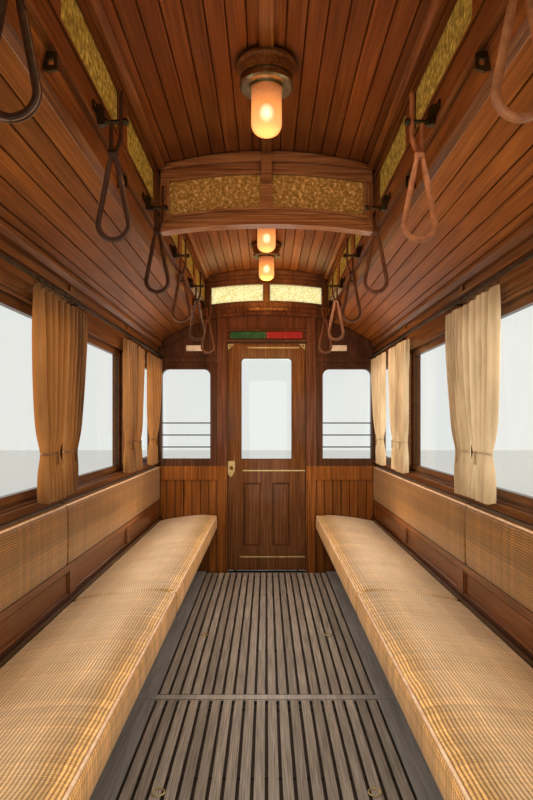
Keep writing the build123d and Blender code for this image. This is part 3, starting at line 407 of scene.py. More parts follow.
clearPane = {"clear": "#fcfefd", "mirror": "#f0f4f4", "metallic": 1.0, "roughness": 0.03, "reflect": 0.06}
glassLooks = {
    "clearGlass": clearPane,
    # only the curved lights above are of rolled glass
    "endGlass": {
        **clearPane, "scatter": 0.9, "above": 2.5, "grainMm": 14, "glow": 0.4,
        "grain": ((0.3, 0.48, 0.7), ("#c9bd7c", "#e9e0ac", "#fbf6dc"))},
    "amberGlass": {
        "clear": "#8c7e38", "mirror": "#b5a560", "metallic": 0.0, "roughness": 0.2, "reflect": 0.25,
        "scatter": 0.85, "above": 0.0, "grainMm": 19, "glow": 0.24,
        "grain": ((0.32, 0.5, 0.68), ("#4e3a12", "#96742a", "#d6b460"))},
    "archGlass": {
        "clear": "#a07a34", "mirror": "#d0a050", "metallic": 0.0, "roughness": 0.15, "reflect": 0.35,
        "scatter": 0.92, "above": 0.0, "grainMm": 16, "glow": 0.32,
        "grain": ((0.34, 0.47, 0.58, 0.7), ("#35230c", "#7c5826", "#b28a4c", "#f0d8a2"))},
}


def opalLamp(name, look):
    # frosted lamp glass, half seen through: brown under its cap, orange beside the bulb, peach at the foot
    kit = Finish(name, {"Roughness": 0.35, "Emission Strength": look["strength"]})
    low, high = look["from"]
    tint = kit.ramp(kit.math("DIVIDE", ("SUBTRACT", kit.split()["Z"], low), high - low), *look["stops"])
    kit.paint(tint)
    kit.paint(tint, "Emission Color")
    kit.blend(look["frost"], kit.node("BsdfTransparent"), kit.shader)
    return kit


opalLooks = {"opalGlass": {
    "from": (2.583, 2.748), "strength": 0.8, "frost": 0.42,
    "stops": ((0.0, 0.25, 0.6, 0.8, 1.0), ("#e8a66c", "#f4b474", "#f0a458", "#cf8a54", "#9c5e36"))}}


def bulbGlow(name, look):
    # the light haze round the bulb: each shell adds a little, so the middle is white hot and fades outwards
    kit = Finish(name, {
        "Base Color": (0, 0, 0, 1), "Specular IOR Level": 0.0, "Emission Color": look["color"],
        "Emission Strength": look["strength"]})
    add = kit.node("AddShader", {0: kit.node("BsdfTransparent"), 1: kit.shader})
    kit.fill(kit.output.inputs["Surface"], add)
    return kit


hazeLooks = {"bulbGlow": {"color": "#fff0cc", "strength": 0.42}}

finishes = {}
for make, looks in ((varnishedWood, woodLooks), (wornWood, wornLooks), (plainFinish, plainLooks),
                    (wovenCane, caneLooks), (curtainCloth, clothLooks), (paneGlass, glassLooks),
                    (opalLamp, opalLooks), (bulbGlow, hazeLooks)):
    finishes.update({name: make(name, look).material for name, look in looks.items()})

# Each finish and how the names of its nodes start; of several starts that fit, the longest counts.
nodeFinish = {
    "oiledOak": "floor_frame", "wornDeckPine": "floor_deck", "wornSlatOak": "slat_mat",
    "varnishedMahoganyWall": "side_wall", "varnishedMahoganyEnd": "bulkhead",
    "varnishedMahoganyDoor": "door",
    "varnishedMahoganyLong": "side_sashes ceiling_casing lamp_roses seat_frame seat_risers",
    "varnishedMahoganyPanel": "seat_panel", "varnishedMahoganyRoof": "clerestory_side",
    "varnishedMahoganyArch": "mid_arch", "varnishedPineQuarter": "quarter_roof",
    "varnishedPineCeiling": "clerestory_roof", "clearGlass": "side_glass door_glass",
    "endGlass": "bulkhead_glass", "amberGlass": "clerestory_glass", "archGlass": "arch_glass",
    "opalGlass": "lamp_glasses", "nickelledBrass": "lamp_collars", "polishedBrass": "door_brass",
    "oiledSteel": "guard_rods door_track", "dullBronze": "curtain_rods strap_hangers cord_eyes",
    "caneFacing": "seat_cushions", "canePad": "seat_backs", "curtainCotton": "curtains",
    "tanLeather": "strap_", "twoColourEnamel": "destination_boards", "ivoryEnamel": "notice_plates",
}


def dressNodes():
    starts = {start: finish for finish, names in nodeFinish.items() for start in names.split()}
    for name, node in cadNodes.items():
        start = max((start for start in starts if name.startswith(start)), key=len)
        node.data.materials.clear()
        node.data.materials.append(finishes[starts[start]])
    print("nodes dressed")


dressNodes()


def newPiece(name, points, faces, finish, weave=None):
    mesh = bpy.data.meshes.new(name)
    mesh.from_pydata(points, [], faces)
    shape = bmesh.new()
    shape.from_mesh(mesh)
    bmesh.ops.recalc_face_normals(shape, faces=shape.faces)
    shape.to_mesh(mesh)
    shape.free()
    mesh.shade_smooth()
    if weave:
        layer = mesh.attributes.new("weave", "FLOAT_VECTOR", "POINT")
        layer.data.foreach_set("vector", [value for place in weave for value in (*place, 0.0)])
    mesh.materials.append(finishes[finish])
    piece = bpy.data.objects.new(name, mesh)
    scene.collection.objects.link(piece)
    return piece


def loftFaces(rings, start, looped=False):
    # quads between closed rings of points; an open loft is capped at both ends
    around = len(rings[0])
    faces = []
    for k in range(len(rings) if looped else len(rings) - 1):
        first, second = start + k * around, start + (k + 1) % len(rings) * around
        for i in range(around):
            j = (i + 1) % around
            faces.append((first + i, first + j, second + j, second + i))
    if not looped:
        last = start + (len(rings) - 1) * around
        faces.append(tuple(range(start + around - 1, start - 1, -1)))
        faces.append(tuple(range(last, last + around)))
    return faces


def loftPiece(name, lofts, finish):
    # one mesh from several lofts, given as (rings, looped)
    points, faces = [], []
    for rings, looped in lofts:
        faces += loftFaces(rings, len(points), looped)
        points += [point for ring in rings for point in ring]
    return newPiece(name, points, faces, finish)


def turn(count):
    # cosine and sine at even steps once round
    return [(math.cos(a), math.sin(a)) for a in (2 * math.pi * i / count for i in range(count))]


def tube(path, radius, around=10):
    # a loft along a path in any direction
    rings = []
    for k, point in enumerate(path):
        here = Vector(point)
        run = (Vector(path[min(k + 1, len(path) - 1)]) - Vector(path[max(k - 1, 0)])).normalized()
        side = run.cross(Vector((0, 0, 1)) if abs(run.z) < 0.9 else Vector((0, 1, 0))).normalized()
        up = side.cross(run).normalized()
        rings.append([tuple(here + side * (radius * c) + up * (radius * s)) for c, s in turn(around)])
    return rings, False


def circlePoints(middle, radius, axis, count):
    first = Vector((0, 0, 1)) if abs(axis[2]) < 0.9 else Vector((1, 0, 0))
    second = Vector(axis).cross(first)
    return [Vector(middle) + (first * c + second * s) * radius for c, s in turn(count)]


def torus(middle, radius, thick, axis, count=24, around=8):
    rings = []
    for point in circlePoints(middle, radius, axis, count):
        out = (point - Vector(middle)).normalized()
        rings.append([tuple(point + out * (thick * c) + Vector(axis) * (thick * s)) for c, s in turn(around)])
    return rings, True


def smoothLine(points, steps):
    # a Catmull-Rom line through the points
    line = []
    last = len(points) - 1
    for k in range(last):
        p0, p1, p2, p3 = points[max(k - 1, 0)], points[k], points[k + 1], points[min(k + 2, last)]
        for i in range(steps):
            t = i / steps
            line.append(tuple(
                0.5 * (2 * b + (c - a) * t + (2 * a - 5 * b + 4 * c - d) * t * t
                       + (3 * b - a - 3 * c + d) * t ** 3) for a, b, c, d in zip(p0, p1, p2, p3)))
    line.append(tuple(points[-1]))
    return line


def carry(piece, body="saloon"):
    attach(piece, body)


padShape = {
    "sectionSteps": 4, "cornerSteps": 6, "lengthSteps": 54, "gap": 0.0022,
    # unevenness along the pad: waves in radians per metre, and each one's share
    "waves": ((9, 1.0), (23, 0.6)),
    # the welt's bend as a share of the pad's, and its place as a share of its radius
    "weltBend": 0.8, "weltIn": 0.6,
}
cushionLook = {
    # section from the rail round the nose, over the top and down the back: x, z in metres
    "section": ((0.466, 0.5804), (0.4385, 0.5804), (0.4328, 0.592), (0.4322, 0.622), (0.4322, 0.662),
                (0.4385, 0.686), (0.4565, 0.6965), (0.496, 0.7025), (0.558, 0.7055), (0.640, 0.700),
                (0.740, 0.688), (0.850, 0.670), (0.912, 0.657), (0.932, 0.645), (0.936, 0.612),
                (0.934, 0.5804)),
    "meet": -0.03, "end": 2.3352, "round": 0.032, "weltRadius": 0.0055, "welt": (0.4392, 0.6865),
    "topFrom": 5, "fill": 0.85, "sag": 0.0034, "cloth": "wovenCane", "facing": "caneFacing",
}
padLook = {
    "section": ((0.9745, 0.834), (0.946, 0.834), (0.9395, 0.846), (0.9372, 0.900), (0.9362, 0.985),
                (0.9372, 1.070), (0.9398, 1.106), (0.948, 1.122), (0.962, 1.1285), (0.9745, 1.1285)),
    "meet": -0.09, "end": 2.339, "round": 0.02, "weltRadius": 0.004, "welt": (0.9448, 1.117),
    "topFrom": 1, "fill": 0.8, "sag": 0.0012, "cloth": "canePad", "facing": "canePad",
}


def roundCorner(radius):
    # from a rounded end inwards: how far along, and how far in from the full size
    steps = padShape["cornerSteps"]
    return [(radius * (1 - math.cos(a)), radius * (1 - math.sin(a)))
            for a in (math.pi / 2 * i / steps for i in range(steps + 1))]


def stuffedPad(name, look, half, side, node):
    # a long stuffed pad: rounded ends, faint unevenness along it, and cane cloth from the welt back
    rng = random.Random(name)
    shape = padShape
    section = smoothLine(look["section"], shape["sectionSteps"])
    xs, zs = zip(*section)
    centreX, centreZ = sum(xs) / len(xs), sum(zs) / len(zs)
    halfWide, halfTall = max(xs) - centreX, max(zs) - centreZ
    soft = look["round"]
    low, high = sorted((look["meet"] + half * shape["gap"], half * look["end"]))
    ends = [(low + along, inset) for along, inset in roundCorner(soft)[:-1]]
    run, steps = high - low - 2 * soft, shape["lengthSteps"]
    places = ends + [(low + soft + run * i / steps, 0.0) for i in range(steps + 1)]
    places += [(high - (y - low), inset) for y, inset in reversed(ends)]
    phases = [rng.uniform(0, fullTurn) for _ in shape["waves"]]
    measure = [0.0]
    for a, b in zip(section, section[1:]):
        measure.append(measure[-1] + math.dist(a, b))
    rings, weave = [], []
    for y, inset in places:
        shrinkX, shrinkZ = 1 - inset / halfWide, 1 - inset / halfTall
        sag = look["sag"] * sum(share * math.sin(y * rate + phase)
                                for (rate, share), phase in zip(shape["waves"], phases))
        ring = []
        for k, (x, z) in enumerate(section):
            fall = abs(sag) if z > centreZ else 0.0
            ring.append((side * (centreX + (x - centreX) * shrinkX), y,
                         centreZ + (z - centreZ) * shrinkZ - fall))
            weave.append((measure[k], y))
        rings.append(ring)
    faces = loftFaces(rings, 0)
    pad = newPiece(name, [point for ring in rings for point in ring], faces, look["cloth"], weave)
    pad.data.materials.append(finishes[look["facing"]])
    # the facing covers the front up to the welt, and both end caps
    topFrom = look["topFrom"] * shape["sectionSteps"]
    for index, face in enumerate(pad.data.polygons):
        if index % len(section) < topFrom or index >= len(faces) - 2:
            face.material_index = 1
    carry(pad)
    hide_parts(node)
    # the welt follows the front top edge and turns back round both ends
    radius, (x, z) = look["weltRadius"], look["welt"]
    y0, y1 = low + radius * shape["weltIn"], high - radius * shape["weltIn"]
    corner = roundCorner(soft * shape["weltBend"])
    path = [(side * (x + dx), y0 + dy, z) for dx, dy in reversed(corner)]
    path += [(side * (x + dx), y1 - dy, z) for dx, dy in corner]
    carry(loftPiece(name + "_welt", [tube(path, radius)], "seatWelt"))


def addPads():
    for side, word in sides:
        for half, end in ((1, "front"), (-1, "rear")):
            stuffedPad("cushion_%s_%s" % (word, end), cushionLook, half, side, "seat_cushions_" + word)
            stuffedPad("backPad_%s_%s" % (word, end), padLook, half, side, "seat_backs_" + word)
    print("cushions and back pads made")


addPads()

curtainLook = {
    "rodX": 0.912, "rodZ": 2.082, "head": 2.060, "bottom": 1.178, "tie": 1.378, "flat": (0.55, 0.9),
    "pleats": 5, "depth": 0.02, "across": 100, "down": 44, "seed": 7, "dropTop": 0.012,
    # how far the tie pinches, as a share of the drop, and how much shallower pleats are there and at the head
    "pinch": 0.07, "shallowTie": 0.4, "shallowHead": 0.3,
    # a pleat's wander, second wave, lean and fullness, and in metres its drift, the head's sag and the hem
    "wander": 0.03, "ripple": 0.2, "lean": 0.16, "full": 0.94, "drift": 0.004, "sag": 0.009, "hem": 0.004,
    # middle and half width along Y at the head, at the tie and at the foot
    "places": (
        ((1.99, 0.28), (1.90, 0.115), (1.88, 0.155)),
        ((1.40, 0.11), (1.31, 0.068), (1.30, 0.082)),
        ((1.10, 0.15), (1.07, 0.080), (1.09, 0.110)),
        ((-0.015, 0.125), (-0.135, 0.082), (-0.150, 0.070)),
        ((-0.345, 0.195), (-0.385, 0.095), (-0.360, 0.135)),
        ((-1.03, 0.11), (-1.07, 0.066), (-1.06, 0.086)),
        ((-1.31, 0.11), (-1.27, 0.066), (-1.28, 0.086)),
        ((-2.18, 0.13), (-2.22, 0.070), (-2.20, 0.095)),
    ),
}
# the cord round a curtain, its knot on the inner side and the two ends, by how far each hangs along Y
tieLook = {"stand": 0.0165, "slack": 0.003, "wave": 0.004, "radius": 0.0034, "steps": 40,
           "knotIn": 0.0205, "knotShare": 0.3, "knotHalf": 0.009, "knotRadius": 0.0055, "knotTilt": 0.002,
           "ends": (-0.01, 0.012), "endLength": 0.05, "endRadius": 0.0024}
# bronze rings on the rod, each with a wire hook down to the cloth
curtainRingLook = {"radius": 0.0125, "wire": 0.0012, "above": 0.0082, "spread": 0.985,
                   "hookWire": 0.0011, "hookOut": (0.6, 0.66), "hookDrop": 0.004, "hookIn": 0.006}


def curtainSpan(place, share, tieShare):
    # middle and half width at a share of the way down: nearly straight to the tie, then opening again
    (headY, head), (tieY, tie), (footY, foot) = place
    if share < tieShare:
        t = share / tieShare
        narrow = t * t * (3 - 2 * t) * 0.45 + t ** 5 * 0.55
        return headY + (tieY - headY) * t ** 1.5, head + (tie - head) * narrow
    t = (share - tieShare) / (1 - tieShare)
    return tieY + (footY - tieY) * t, tie + (foot - tie) * math.sin(math.pi / 2 * t)


def tieLofts(side, place, tieShare, phase):
    look, x, z = tieLook, curtainLook["rodX"], curtainLook["tie"]
    y, half = curtainSpan(place, tieShare, tieShare)
    path = []
    for i in range(look["steps"] + 1):
        a = 2 * math.pi * (i % look["steps"]) / look["steps"]
        path.append((side * (x + look["stand"] * math.cos(a)), y + (half + look["slack"]) * math.sin(a),
                     z + look["wave"] * math.sin(a + phase)))
    knotX, knotY = side * (x - look["knotIn"]), y + look["knotShare"] * half
    knot, knotHalf = (knotX, knotY, z), look["knotHalf"]
    bow = [(knotX, knotY - knotHalf, z - look["knotTilt"]), knot, (knotX, knotY + knotHalf, z)]
    lofts = [tube(path, look["radius"], 8), tube(bow, look["knotRadius"], 8)]
    low = look["endLength"]
    for dy in look["ends"]:
        hanging = [knot, (knotX, knotY + dy * 0.6, z - low * 0.4),
                   (knotX + side * 0.001, knotY + dy, z - low)]
        lofts.append(tube(hanging, look["endRadius"], 6))
    return lofts


def curtainRingLofts(side, place, drops):
    look, curtain = curtainRingLook, curtainLook
    (headY, head), radius = place[0], look["radius"]
    x, out = curtain["rodX"], [curtain["depth"] * share for share in look["hookOut"]]
    top = curtain["rodZ"] + look["above"]
    lofts = []
    for i, drop in enumerate(drops):
        y = headY + (2 * i / curtain["pleats"] - 1) * head * look["spread"]
        lofts.append(torus((side * x, y, top - radius), radius, look["wire"], (0, 1, 0), 16, 6))
        under = top - 2 * radius
        hook = [(side * x, y, under), (side * (x + out[0]), y, under - look["hookDrop"]),
                (side * (x + out[1]), y, curtain["head"] - drop - look["hookIn"])]
        lofts.append(tube(hook, look["hookWire"], 5))
    return lofts


def addCurtain(index, side, word, place, rng):
    look = curtainLook
    tall = look["head"] - look["bottom"]
    tieShare = (look["head"] - look["tie"]) / tall
    phases = [rng.uniform(0, fullTurn) for _ in range(6)]
    drops = [rng.uniform(0.0, look["dropTop"]) for _ in range(look["pleats"] + 1)]
    points = []
    for row in range(look["down"] + 1):
        share = row / look["down"]
        middle, half = curtainSpan(place, share, tieShare)
        near = math.exp(-((share - tieShare) / look["pinch"]) ** 2)
        deep = look["depth"] * (1 - look["shallowTie"] * near)
        deep *= look["full"] * (1 - look["shallowHead"] * max(0.0, 1 - share * 5))
        for column in range(look["across"] + 1):
            u = column / look["across"]
            bend = look["wander"] * math.sin(fullTurn * u + phases[0] + share * 1.1) * min(1.0, share * 4)
            fold = 2 * math.pi * look["pleats"] * (u + bend)
            wave = math.cos(fold) + look["ripple"] * math.cos(2 * fold + phases[2] + share * 2) * share
            drift = look["drift"] * math.sin(share * 4 + phases[3] + u * 3)
            lean = look["lean"] / look["pleats"] * math.sin(2 * fold) * (1 - near)
            # the head hangs from its rings, a little lower between them
            drop = drops[int(u * look["pleats"] + 0.5)]
            hang = (look["sag"] * (1 - math.cos(fold)) / 2 + drop) * max(0.0, 1 - share * 6)
            low = look["hem"] * math.sin(fold + phases[4]) * share ** 4
            points.append((side * (look["rodX"] + deep * wave + drift * share),
                           middle + (2 * u - 1 + lean) * half, look["head"] - tall * share - hang + low))
    stride = look["across"] + 1
    corners = [row * stride + column for row in range(look["down"]) for column in range(look["across"])]
    faces = [(a, a + 1, a + 1 + stride, a + stride) for a in corners]
    name = "curtain_%s_%d" % (word, index)
    cloth = newPiece(name, points, faces, "curtainCotton")
    carry(cloth)
    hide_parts("curtains_" + word)
    tie = loftPiece(name + "_tie", tieLofts(side, place, tieShare, phases[5]), "curtainCotton")
    carry(tie)
    rings = loftPiece(name + "_rings", curtainRingLofts(side, place, drops), "dullBronze")
    carry(rings)


def addCurtains():
    rng = random.Random(curtainLook["seed"])
    for side, word in sides:
        for index, place in enumerate(curtainLook["places"], start=1):
            addCurtain(index, side, word, place, rng)
    print("curtains hung")


addCurtains()

strapLook = {
    "x": 0.48, "pin": 2.45, "middle": 0.085, "spacing": 0.746, "count": 6, "apex": 0.108, "drop": 0.379,
    "loopWidth": 0.115, "thick": 0.018, "leather": 0.0058, "holeRadius": 0.0073,
    "arcSteps": 26, "legSteps": 16,
    # the strip about its pin as x and z: down from the eye, and from the hand loop up to the tail
    "down": ((0.0066, 0.006), (0.0066, -0.03), (0.0066, -0.07), (0.0068, -0.1), (0.012, -0.128)),
    "up": ((-0.012, -0.128), (-0.0068, -0.104), (-0.011, -0.086), (-0.021, -0.062), (-0.0245, -0.04),
           (-0.0245, 0.0), (-0.0245, 0.05), (-0.0245, 0.097)),
    # the eye's washer as x and radius; the keeper as z from the apex and how proud, and its half sizes
    "eye": ((0.0012, 0.0120), (0.0012, 0.0145), (0.0122, 0.0145), (0.0122, 0.0120)),
    "keeper": ((-0.008, 0.0), (-0.005, 0.0022), (0.017, 0.0022), (0.020, 0.0)),
    "keeperHalf": (0.0135, 0.0092),
    # how much narrower than the loop the strip is, and where below the apex and over what length it rounds
    "edge": 0.0004, "roundFrom": 0.01, "roundOver": 0.05,
    # width at the ends, and in how many points it grows; squareness of the flat part, and what round adds
    "tip": 0.35, "tipPoints": 2.5, "square": 0.45, "rounder": 0.5,
    # leather of each strap, from the rear to the front
    "right": ("tanLeather",) * 2 + ("brownLeather",) * 4,
    "left": ("darkLeather",) * 3 + ("brownLeather", "darkLeather", "brownLeather"),
}
stitchLook = {"below": 0.055, "face": 0.0052, "out": 0.0071, "half": 0.0022, "radius": 0.0007}


def strapYs():
    look = strapLook
    return [look["middle"] + look["spacing"] * (i - (look["count"] - 1) / 2) for i in range(look["count"])]


def strapLine():
    # the strip's middle line as (x, z): down from the eye, round the hand loop and up to a standing tail
    look = strapLook
    radius = look["loopWidth"] / 2 - look["thick"] / 2
    centre = -look["drop"] + look["thick"] / 2 + radius
    start = math.pi / 2 - math.acos(radius / (-look["apex"] - centre))
    arc = []
    for i in range(look["arcSteps"] + 1):
        a = start - (math.pi + 2 * start) * i / look["arcSteps"]
        arc.append((radius * math.cos(a), centre + radius * math.sin(a)))
    down, up, steps = list(look["down"]), list(look["up"]), look["legSteps"]
    legs = [[tuple(a + (b - a) * i / steps for a, b in zip(first, last)) for i in range(1, steps)]
            for first, last in ((down[-1], arc[0]), (arc[-1], up[0]))]
    return smoothLine(down + legs[0] + arc + legs[1] + up, 2)


def squared(value, power):
    # takes the cosine or sine of a circle towards that of a rounded square
    return math.copysign(abs(value) ** power, value)


def stripRings(line):
    # flat above the junction, round and full in the hand loop, narrower at both ends
    look = strapLook
    last, tip = len(line) - 1, look["tip"]
    wide = look["thick"] / 2 - look["edge"]
    rings = []
    for k, (x, z) in enumerate(line):
        before, after = line[max(k - 1, 0)], line[min(k + 1, last)]
        run = Vector((after[0] - before[0], 0, after[1] - before[1])).normalized()
        across = Vector((run.z, 0, -run.x))
        full = min(1.0, max(0.0, (-look["apex"] - look["roundFrom"] - z) / look["roundOver"]))
        thick = look["leather"] + (look["thick"] / 2 - look["leather"]) * full
        taper = min(1.0, tip + (1 - tip) * min(k, last - k) / look["tipPoints"])
        power = look["square"] + look["rounder"] * full
        ring = []
        for c, s in turn(18):
            place = Vector((x, 0, z)) + across * (squared(c, power) * thick)
            ring.append((place.x, squared(s, power) * wide * taper, place.z))
        rings.append(ring)
    return rings


def keeperRings():
    look = strapLook
    halfX, halfY = look["keeperHalf"]
    return [[(squared(c, 0.5) * (halfX + proud), squared(s, 0.5) * (halfY + proud), z - look["apex"])
             for c, s in turn(24)] for z, proud in look["keeper"]]


def stitchLofts(line):
    # short raised stitches along the outer edge of the hand loop
    look = stitchLook
    lofts = []
    low = [k for k, (x, z) in enumerate(line) if z < -strapLook["apex"] - look["below"]]
    for k in low[1:-1]:
        (x, z), (nextX, nextZ) = line[k], line[k + 1]
        run = Vector((nextX - x, 0, nextZ - z)).normalized()
        out = Vector((-run.z, 0, run.x))
        if out.x * x < 0:
            out = -out
        for face in (-1, 1):
            place = Vector((x, face * look["face"], z)) + out * look["out"]
            path = [tuple(place - run * look["half"]), tuple(place), tuple(place + run * look["half"])]
            lofts.append(tube(path, look["radius"], 5))
    return lofts


def punchHole(piece, radius):
    # the hole for the peg, cut through eye and tail
    rings = [[(x, radius * c, radius * s) for c, s in turn(20)] for x in (-0.06, 0.06)]
    cutter = loftPiece("holeCutter", [(rings, False)], "oiledSteel")
    cut = piece.modifiers.new("hole", "BOOLEAN")
    cut.operation = "DIFFERENCE"
    cut.object = cutter
    cut.solver = "EXACT"
    bpy.context.view_layer.update()
    done = bpy.data.meshes.new_from_object(piece.evaluated_get(bpy.context.evaluated_depsgraph_get()))
    piece.modifiers.clear()
    piece.data = done
    bpy.data.objects.remove(cutter)


def addStraps():
    look = strapLook
    line = strapLine()
    eye = [[(x, r * c, r * s) for c, s in turn(24)] for x, r in look["eye"]]
    patterns = {"leather": loftPiece("strapPattern", [(stripRings(line), False), (eye, False)], "tanLeather"),
                "keeper": loftPiece("keeperPattern", [(keeperRings(), False)], "tanLeather"),
                "thread": loftPiece("threadPattern", stitchLofts(line), "linenThread")}
    punchHole(patterns["leather"], look["holeRadius"])
    for side, word in sides:
        for i, y in enumerate(strapYs()):
            node = "strap_%s_%d" % (word, i + 1)
            for part, pattern in patterns.items():
                mesh = pattern.data.copy()
                if side < 0:
                    for vertex in mesh.vertices:
                        vertex.co.x = -vertex.co.x
                    mesh.flip_normals()
                if part != "thread":
                    mesh.materials.clear()
                    mesh.materials.append(finishes[look[word][i]])
                piece = bpy.data.objects.new(node + "_" + part, mesh)
                piece.location = (side * look["x"], y, look["pin"])
                scene.collection.objects.link(piece)
                carry(piece, "hand_" + node)
                if part == "leather":
                    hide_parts(node)
    for pattern in patterns.values():
        bpy.data.objects.remove(pattern)
    print("hand straps made")


addStraps()

screwLook = {
    "radius": 0.0042, "rise": 0.0016,
    # a dome's rings from its foot up: share of the radius, and share of the rise
    "dome": ((1.0, 0.35), (0.75, 0.8), (0.3, 1.0)), "sunk": 0.0008,
    # on each bulkhead, the corners of a small plate and of a board's half: xs, zs, and the face's Y
    "plates": (((0.568, 0.700), (2.146, 2.181), 2.346), ((0.014, 0.166, 0.306), (2.262, 2.298), 2.338)),
    # beside each strap hanger: the face's X, above the pin, and to either side
    "hanger": (0.533, 0.044, (-0.015, 0.015)),
}


def screwRings(point, normal):
    look, axis = screwLook, Vector(normal)
    shape = [(look["radius"], -look["sunk"])]
    shape += [(look["radius"] * r, look["rise"] * up) for r, up in look["dome"]]
    return [[tuple(place + axis * up) for place in circlePoints(point, r, normal, 12)] for r, up in shape]


def addScrews():
    places = []
    for end in (-1, 1):
        for side in (-1, 1):
            for xs, zs, face in screwLook["plates"]:
                places += [((side * x, end * face, z), (0, -end, 0)) for x in xs for z in zs]
    hangerX, up, steps = screwLook["hanger"]
    for side in (-1, 1):
        places += [((side * hangerX, y + dy, strapLook["pin"] + up), (-side, 0, 0))
                   for y in strapYs() for dy in steps]
    lofts = [(screwRings(point, facing), False) for point, facing in places]
    carry(loftPiece("screws", lofts, "nickelledBrass"))
    print("screws set:", len(places))


addScrews()

ringLook = {"x": 0.382, "ys": (-0.8, 0.764), "radius": 0.022, "thick": 0.003, "sunk": 0.8,
            # the staple that holds a ring: along Y from its middle and up from the slats, and its wire
            "staple": ((0.014, -0.001), (0.019, 0.0075), (0.024, -0.001)), "wire": 0.0022}


def addLiftRings():
    # brass rings let into the slat mats, to lift them by
    look = ringLook
    lofts = []
    for side in (-1, 1):
        for y in look["ys"]:
            x = side * look["x"]
            middle = (x, y, floorTop + look["thick"] * look["sunk"])
            lofts.append(torus(middle, look["radius"], look["thick"], (0, 0, 1)))
            staple = [(x, y + dy, floorTop + up) for dy, up in look["staple"]]
            lofts.append(tube(staple, look["wire"], 8))
    carry(loftPiece("liftRings", lofts, "polishedBrass"))


addLiftRings()

mouldingLook = {
    # raised section round a sunk panel: in from the panel's edge, out of its floor
    "section": ((0.0, -0.001), (0.0, 0.0085), (0.004, 0.0095), (0.008, 0.0075), (0.0105, 0.003),
                (0.0125, -0.001)),
    "bays": 4, "bayPitch": 1.175, "fieldHalf": 0.5425, "fieldZ": (0.682, 0.7997), "fieldFloor": 0.955,
    "doorX": (0.048, 0.212), "doorZ": (0.403, 0.976), "doorFaces": (2.403, 2.437), "doorDepth": 0.010,
    # end, name and where the leaf stands at rest, as a shift along X
    "doors": ((1, "front", 0.0), (-1, "rear", -0.66)),
}


def frameRings(us, vs, place):
    # a mitred frame round a rectangle given by its two spans; place turns (along, up, out) into a point
    (u0, u1), (v0, v1) = us, vs
    rings = []
    for u, v, du, dv in ((u0, v0, 1, 1), (u1, v0, -1, 1), (u1, v1, -1, -1), (u0, v1, 1, -1)):
        rings.append([place(u + du * inset, v + dv * inset, out) for inset, out in mouldingLook["section"]])
    return rings


def carryMoulding(name, frames, finish, body):
    piece = loftPiece(name, [(rings, True) for rings in frames], finish)
    piece.data.shade_flat()
    carry(piece, body)


def addMouldings():
    look = mouldingLook
    for side, word in sides:
        frames = []
        for bay in range(look["bays"]):
            y = look["bayPitch"] * (bay + 0.5 - look["bays"] / 2)
            ys = y - look["fieldHalf"], y + look["fieldHalf"]
            frames.append(frameRings(
                ys, look["fieldZ"], lambda u, v, out: (side * (look["fieldFloor"] - out), u, v)))
        carryMoulding("panelMoulding_" + word, frames, "varnishedMahoganyLong", "saloon")
    for end, word, shift in look["doors"]:
        frames = []
        for face, way in zip(look["doorFaces"], (1, -1)):
            for side in (-1, 1):
                xs = sorted(side * x + shift for x in look["doorX"])
                frames.append(frameRings(
                    xs, look["doorZ"],
                    lambda u, v, out: (u, end * (face + way * (look["doorDepth"] - out)), v)))
        carryMoulding("doorMoulding_" + word, frames, "varnishedMahoganyDoor", word + "_door")
    print("panel mouldings made")


addMouldings()

# the lamps' places along the saloon, and the shells of haze round a bulb
lampYs = (-1.418, -0.672, 0.842, 1.588)
bulbLook = {"z": 2.668, "radii": (0.009, 0.015, 0.021, 0.028), "stretch": 1.15, "rings": 14}


def addBulbs():
    look = bulbLook
    lofts = []
    for y in lampYs:
        for radius in look["radii"]:
            rings = []
            for k in range(1, look["rings"]):
                tilt = math.pi * k / look["rings"]
                r, z = radius * math.sin(tilt), look["z"] - radius * look["stretch"] * math.cos(tilt)
                rings.append([(r * c, y + r * s, z) for c, s in turn(24)])
            lofts.append((rings, False))
    carry(loftPiece("bulbs", lofts, "bulbGlow"))
    print("bulbs set")


addBulbs()

cameraLook = {"place": (0.0, -2.9, floorTop + 1.306), "focalPx": 595.0, "horizonPx": 423, "tallPx": 800,
              "sensorMm": 36.0, "clipNear": 0.02}


def addCamera():
    look = cameraLook
    data = bpy.data.cameras.new("doorwayCamera")
    data.sensor_width = look["sensorMm"]
    data.lens = look["focalPx"] * look["sensorMm"] / look["tallPx"]
    data.shift_y = (look["horizonPx"] - look["tallPx"] / 2) / look["tallPx"]
    data.clip_start = look["clipNear"]
    camera = bpy.data.objects.new("doorwayCamera", data)
    camera.location = look["place"]
    camera.rotation_euler = (math.radians(90), 0, 0)
    scene.collection.objects.link(camera)
    scene.camera = camera
    print("camera set")


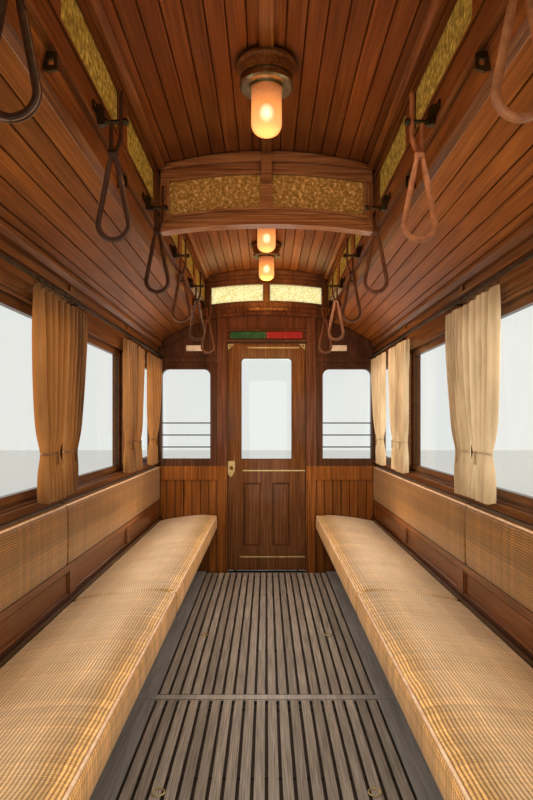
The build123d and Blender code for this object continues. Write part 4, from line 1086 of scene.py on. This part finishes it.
lightLook = {
    "worldStrength": 0.9, "worldColor": "#f2f1ee", "backColor": "#f4f4f2",
    "floorSize": 60, "floorZ": -0.001, "floorColor": "#f2f1ee",
    # name, place, aim, size along, size up, watts, colour
    "areas": (
        ("softLeft", (-4.2, 0, 2.6), (0, 0, 1.0), 6.0, 3.0, 110, "#fff8ee"),
        ("softRight", (4.2, 0, 2.6), (0, 0, 1.0), 6.0, 3.0, 90, "#fff8ee"),
        # daylight that comes in at the windows, from just inside their sashes
        ("windowsLeft", (-0.975, 0, 1.6), (0, 0, 1.6), 4.5, 0.74, 36, "#fff8ee"),
        ("windowsRight", (0.975, 0, 1.6), (0, 0, 1.6), 4.5, 0.74, 22, "#fff8ee"),
        ("softRear", (0, -2.75, 2.1), (0, 1.5, 1.0), 0.6, 1.2, 20, "#fff0dc"),
        ("softCeilingFront", (0, 1.15, 2.35), (0, 1.15, 0), 1.6, 0.5, 24, "#ffe8cc"),
        ("softCeilingRear", (0, -1.15, 2.35), (0, -1.15, 0), 1.6, 0.5, 6, "#ffe8cc"),
        ("glowFar", (0, 1.98, 2.5), (0, 1.98, 3), 0.3, 0.8, 5.0, "#ffd878"),
        ("softFloorFront", (0, 1.15, 0.75), (0, 1.15, 3), 1.8, 0.6, 13, "#ffdcb0"),
        ("softFloorRear", (0, -1.15, 0.75), (0, -1.15, 3), 1.8, 0.6, 6, "#ffdcb0"),
    ),
    # in the order of lampYs
    "lampWatts": (4.0, 4.5, 5.0, 13.0), "lampZ": 2.43, "lampColor": "#ffb468", "lampRadius": 0.025,
}


def addLamp(kind, name, place, watts, color):
    data = bpy.data.lights.new(name, kind)
    data.energy = watts
    data.color = hexColor(color)[:3]
    lamp = bpy.data.objects.new(name, data)
    lamp.location = place
    lamp.visible_camera = False
    # the lights inside the saloon don't show as white shapes in the varnish
    lamp.visible_glossy = abs(place[0]) > 1
    scene.collection.objects.link(lamp)
    return lamp


def addLights():
    look = lightLook
    for name, place, aim, along, up, watts, color in look["areas"]:
        lamp = addLamp("AREA", name, place, watts, color)
        lamp.data.shape = "RECTANGLE"
        lamp.data.size, lamp.data.size_y = along, up
        lamp.rotation_euler = (Vector(aim) - Vector(place)).to_track_quat("-Z", "Y").to_euler()
    for y, watts in zip(lampYs, look["lampWatts"]):
        lamp = addLamp("POINT", "bulb", (0, y, look["lampZ"]), watts, look["lampColor"])
        lamp.data.shadow_soft_size = look["lampRadius"]
    world = bpy.data.worlds.new("paleStudio")
    scene.world = world
    world.use_nodes = True
    kit = NodeKit(world.node_tree)
    rays = kit.node("LightPath").outputs
    mirrored = ("MAXIMUM", rays["Is Glossy Ray"], rays["Is Transmission Ray"])
    seen = kit.math("MAXIMUM", rays["Is Camera Ray"], mirrored)
    lit = kit.node("Background", {"Color": look["worldColor"], "Strength": look["worldStrength"]})
    back = kit.node("Background", {"Color": look["backColor"], "Strength": 1.0})
    mix = kit.node("MixShader", {0: seen, 1: lit, 2: back})
    kit.node("OutputWorld", {"Surface": mix})
    print("lights set")


def addFloor():
    look = lightLook
    bpy.ops.mesh.primitive_grid_add(
        x_subdivisions=4, y_subdivisions=4, size=look["floorSize"], location=(0, 0, look["floorZ"]))
    floor = bpy.context.object
    floor.name = "paleFloor"
    paint = Finish("paleFloorPaint", {"Roughness": 0.9, "Base Color": look["floorColor"]})
    floor.data.materials.append(paint.material)


addCamera()
addLights()
addFloor()

scene.view_settings.view_transform = "Standard"
scene.cycles.transparent_max_bounces = 32
